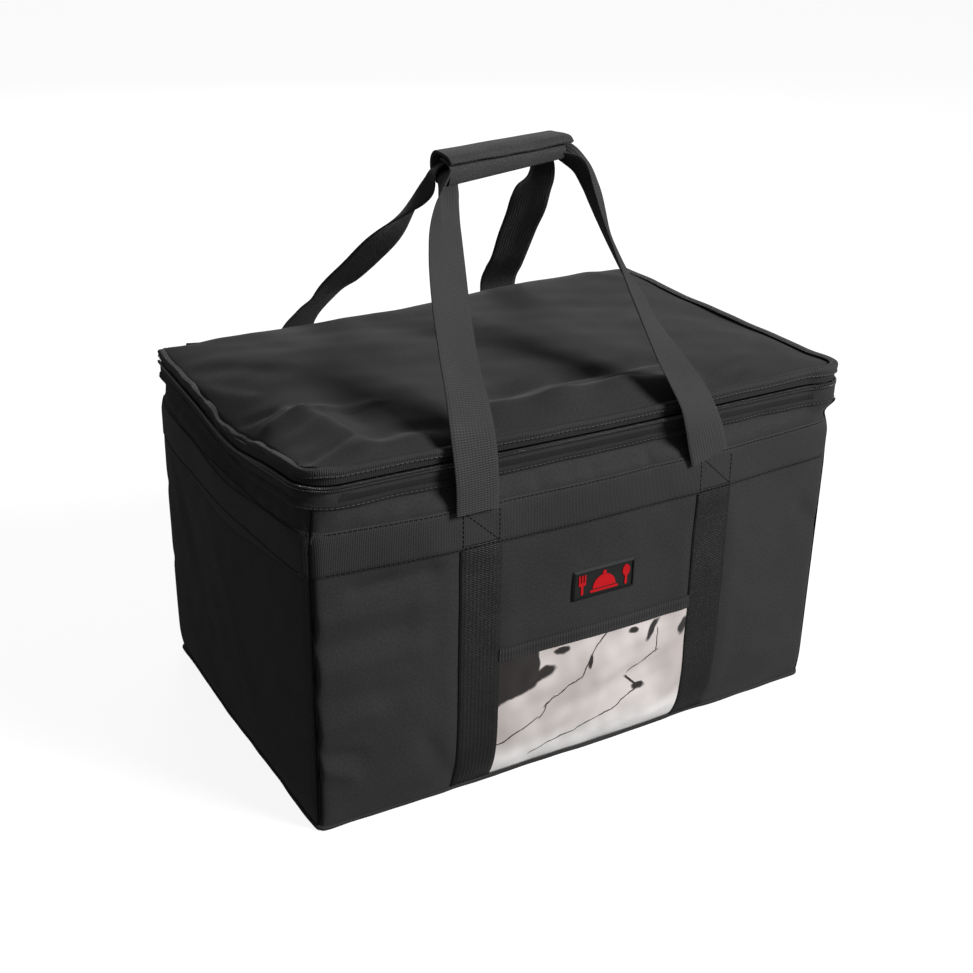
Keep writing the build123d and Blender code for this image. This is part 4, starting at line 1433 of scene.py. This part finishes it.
def reshape(obj, change):
    """Moves a mesh's vertices by a function of their places."""
    co = np.empty(len(obj.data.vertices) * 3)
    obj.data.vertices.foreach_get("co", co)
    obj.data.vertices.foreach_set("co", change(co.reshape(-1, 3)).astype(np.float32).ravel())


WING_TOP = 0.5625


def flap_bow(x, t):
    """The flap's front edge waves a little."""
    return smooth((t - 0.7) / 0.3) * 0.0007 * ripple(x, 0 * x, 0.045, 82) + 0.0003 * ripple(x, t * 0.03, 0.05, 83)


def flap_shape(co):
    """The flap's front right corner sticks out, and its back right corner is rounded."""
    co = co.copy()
    forward = smooth((-co[:, 1] - 0.002) / 0.024) * smooth((co[:, 2] - 0.560) / 0.003)
    right = smooth((co[:, 0] - 0.03) / 0.036)
    co[:, 0] += 0.0075 * forward * right - 0.0050 * smooth((co[:, 1] + 0.004) / 0.012) * right
    co[:, 2] += 0.0012 * forward * right
    return tilted(co)


def wing_shape(co):
    """The wing under the flap narrows towards its right end."""
    co = co.copy()
    right = np.clip((co[:, 0] - GRIP_LEFT) / (2 * GRIP_HALF), 0, 1)
    co[:, 2] = WING_TOP + (co[:, 2] - WING_TOP) * (1 - 0.30 * right)
    return tilted(co)


flap_line = [(0.0030, 0.5455), (0.0085, 0.5475), (0.0112, 0.5550), (0.0098, 0.5640), (0.0040, 0.5690),
             (-0.0060, 0.5697), (-0.0160, 0.5688), (-0.0225, 0.5672), (-0.0282, 0.5632)]
flap = wrap_sheet("grip_wrap", flap_line, GRIP_HALF, 0.0030, 0.0012, flap_bow)
reshape(flap, flap_shape)
wear(flap, grip_cloth, 70)
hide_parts("grip_flap_pad", "grip_back_pad")
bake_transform(flap)

wing_line = [(0.0020, 0.5425), (-0.0060, 0.5418), (-0.0160, 0.5420), (-0.0222, 0.5440), (-0.0246, 0.5500),
             (-0.0246, 0.5580), (-0.0222, 0.5612), (-0.0160, 0.5638), (-0.0060, 0.5642)]
wing = wrap_sheet("grip_lower", list(reversed(wing_line)), GRIP_HALF - 0.0005, 0.0028, 0.0010)
reshape(wing, wing_shape)
wear(wing, grip_cloth, 70)
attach(wing, "front_handle")
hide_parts("grip_lower_wing")

# ---- stitching ----

# A stitch is one metre long here, and each copy is shortened to its own length
stitch = bevelled_block((1.0, 0.0007, 0.0005), 0.00016)


STITCH_LENGTH, STITCH_GAP = 0.0030, 0.0016


def sew(name, rows, normal, body, material):
    """Stitches along rows of points on a surface that faces one way, or one way for each point."""
    origins, forward, sideways, up = [], [], [], []
    for k, row in enumerate(rows):
        row = np.asarray(row, float)
        face = np.broadcast_to(np.asarray(normal[k] if isinstance(normal, list) else normal, float), row.shape)
        run = run_along(row)
        at = np.arange(0, run[-1] - STITCH_LENGTH, STITCH_LENGTH + STITCH_GAP)
        a = np.stack([np.interp(at, run, row[:, c]) for c in range(3)], axis=-1)
        b = np.stack([np.interp(at + STITCH_LENGTH, run, row[:, c]) for c in range(3)], axis=-1)
        n = unit(np.stack([np.interp(at, run, face[:, c]) for c in range(3)], axis=-1))
        f = unit(b - a)
        origins.append((a + b) / 2)
        forward.append(b - a)
        sideways.append(np.cross(n, f))
        up.append(n)
    obj = many(name, stitch, tuple(np.concatenate(k) for k in (origins, forward, sideways, up)))
    wear(obj, material, 40)
    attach(obj, body)


def zip_row(out, z, drop, wave=None, k=0):
    points, directions = zip_line()
    x, y = points.T
    run = run_along(points)
    extra_out, extra_up = wave(run, x, y, k) if wave else (0.0, 0.0)
    plan = points + directions * (top_bow(x, y) + out + extra_out)[:, None]
    return at_height(plan, z + drop(x, y) + extra_up), at_height(directions, np.zeros(len(x)))


row, normal = zip_row(0.0036, RIM_LOW + 0.0028, droop, front_wave)
sew("rim_stitches", [row], [normal], "root", thread)
row, normal = zip_row(0.0033, 0.3562, lid_drop, ruffle, 2)
sew("lid_tape_stitches", [row], [normal], "lid", thread)

rows, normals = [], []
for side, (_, tangent, outward, length) in SIDES.items():
    half = length / 2 - 0.006
    a = np.linspace(-half, half, round(length / 0.01))
    for z in (BAND_LOW + 0.0022, BAND_HIGH - 0.0022):
        rows.append(on_wall(side, a, np.full_like(a, z), WEB + 0.0002))
        normals.append(np.broadcast_to((*outward, 0.0), (len(a), 3)))
for side, facing in (("front", -1), ("back", 1)):
    for x in (-STRAP_X, STRAP_X):
        low, high, half = BAND_LOW + 0.004, BAND_HIGH - 0.004, STRAP_WIDTH / 2 - 0.003
        box = [((x - half, low), (x - half, high)), ((x + half, low), (x + half, high)),
               ((x - half, high), (x + half, low))]
        for (x0, z0), (x1, z1) in box:
            t = np.linspace(0, 1, 14)
            rows.append(on_wall(side, x0 + (x1 - x0) * t, z0 + (z1 - z0) * t, WEB + 0.0002))
            normals.append(np.broadcast_to((0.0, facing, 0.0), (14, 3)))
sew("band_stitches", rows, normals, "root", dark_thread)

bpy.data.objects.remove(tooth)
bpy.data.objects.remove(stitch)

# ---- what stays from the frame ----

for name, material in {
    "base_board": board_grey, "bottom_foam": foam_grey, "zip_end_stops": dark_metal, "badge_emblem": patch_red,
    "front_slider": dark_metal, "back_slider": dark_metal, "front_pull": dark_metal, "back_pull": dark_metal,
    "loop_strip": hook_loop, "hook_strip": hook_loop,
}.items():
    nodes[name].data.materials.clear()
    nodes[name].data.materials.append(material)

# ---- floor, light, camera ----


def build_floor():
    """A floor that looks white to the camera, and throws little light back at the walls."""
    nothing_selected()
    bpy.ops.mesh.primitive_plane_add(size=24, location=(0, 0, -0.0003))
    obj = bpy.context.object
    obj.name = "floor"
    m, tree, shader, coords = blank("pale_floor")
    tone = noise_at(tree, coords["Object"], 2.0, 2.0)
    tree.links.new(tones(tree, tone, grey(0.16), grey(0.17)), shader["Base Color"])
    seen = tree.nodes.new("ShaderNodeLightPath").outputs["Is Camera Ray"]
    tree.links.new(tones(tree, seen, grey(0.06), grey(0.90)), shader["Emission Color"])
    shader["Emission Strength"].default_value = 1.0
    shader["Roughness"].default_value = 0.9
    obj.data.materials.append(m)


build_floor()


def soft_light(name, place, target, size, power):
    data = bpy.data.lights.new(name, "AREA")
    data.shape = "DISK"
    data.size = size
    data.energy = power
    obj = bpy.data.objects.new(name, data)
    bpy.context.scene.collection.objects.link(obj)
    obj.location = place
    obj.rotation_euler = (Vector(target) - Vector(place)).to_track_quat("-Z", "Y").to_euler()


BOX_MIDDLE = (0, 0, 0.2)
soft_light("key_light", (1.75, -2.60, 2.30), BOX_MIDDLE, 1.5, 222)
soft_light("back_light", (1.1, 3.1, 1.6), BOX_MIDDLE, 1.8, 28)

# The world looks white to the camera, and lights the object much less
SKY_SEEN, SKY_GIVEN = 1.0, 0.20
world = bpy.data.worlds.new("studio")
bpy.context.scene.world = world
world.use_nodes = True
sky_tree = world.node_tree
seen = sky_tree.nodes["Background"]
seen.inputs[0].default_value = (1, 1, 1, 1)
seen.inputs[1].default_value = SKY_SEEN
given = sky_tree.nodes.new("ShaderNodeBackground")
given.inputs[0].default_value = (1, 1, 1, 1)
given.inputs[1].default_value = SKY_GIVEN
ray = sky_tree.nodes.new("ShaderNodeLightPath")
either = sky_tree.nodes.new("ShaderNodeMixShader")
sky_tree.links.new(ray.outputs["Is Camera Ray"], either.inputs[0])
sky_tree.links.new(given.outputs[0], either.inputs[1])
sky_tree.links.new(seen.outputs[0], either.inputs[2])
sky_tree.links.new(either.outputs[0], sky_tree.nodes["World Output"].inputs[0])

AZIMUTH, DOWN, ROLL = (math.radians(v) for v in (30.63, 24.75, 1.18))
forward = Vector((math.sin(AZIMUTH) * math.cos(DOWN), math.cos(AZIMUTH) * math.cos(DOWN), -math.sin(DOWN)))
level = Vector((math.cos(AZIMUTH), -math.sin(AZIMUTH), 0))
upright = level.cross(forward)
right = level * math.cos(ROLL) + upright * math.sin(ROLL)
up = -level * math.sin(ROLL) + upright * math.cos(ROLL)
CAMERA_PLACE = (-0.7062, -1.1834, 0.8486)
camera_data = bpy.data.cameras.new("camera")
camera_data.sensor_width = 36
camera_data.lens = 53.3
camera = bpy.data.objects.new("camera", camera_data)
bpy.context.scene.collection.objects.link(camera)
turned = Matrix((right, up, -forward)).transposed().to_4x4()
camera.matrix_world = Matrix.Translation(CAMERA_PLACE) @ turned
bpy.context.scene.camera = camera
bpy.context.scene.view_settings.view_transform = "Standard"
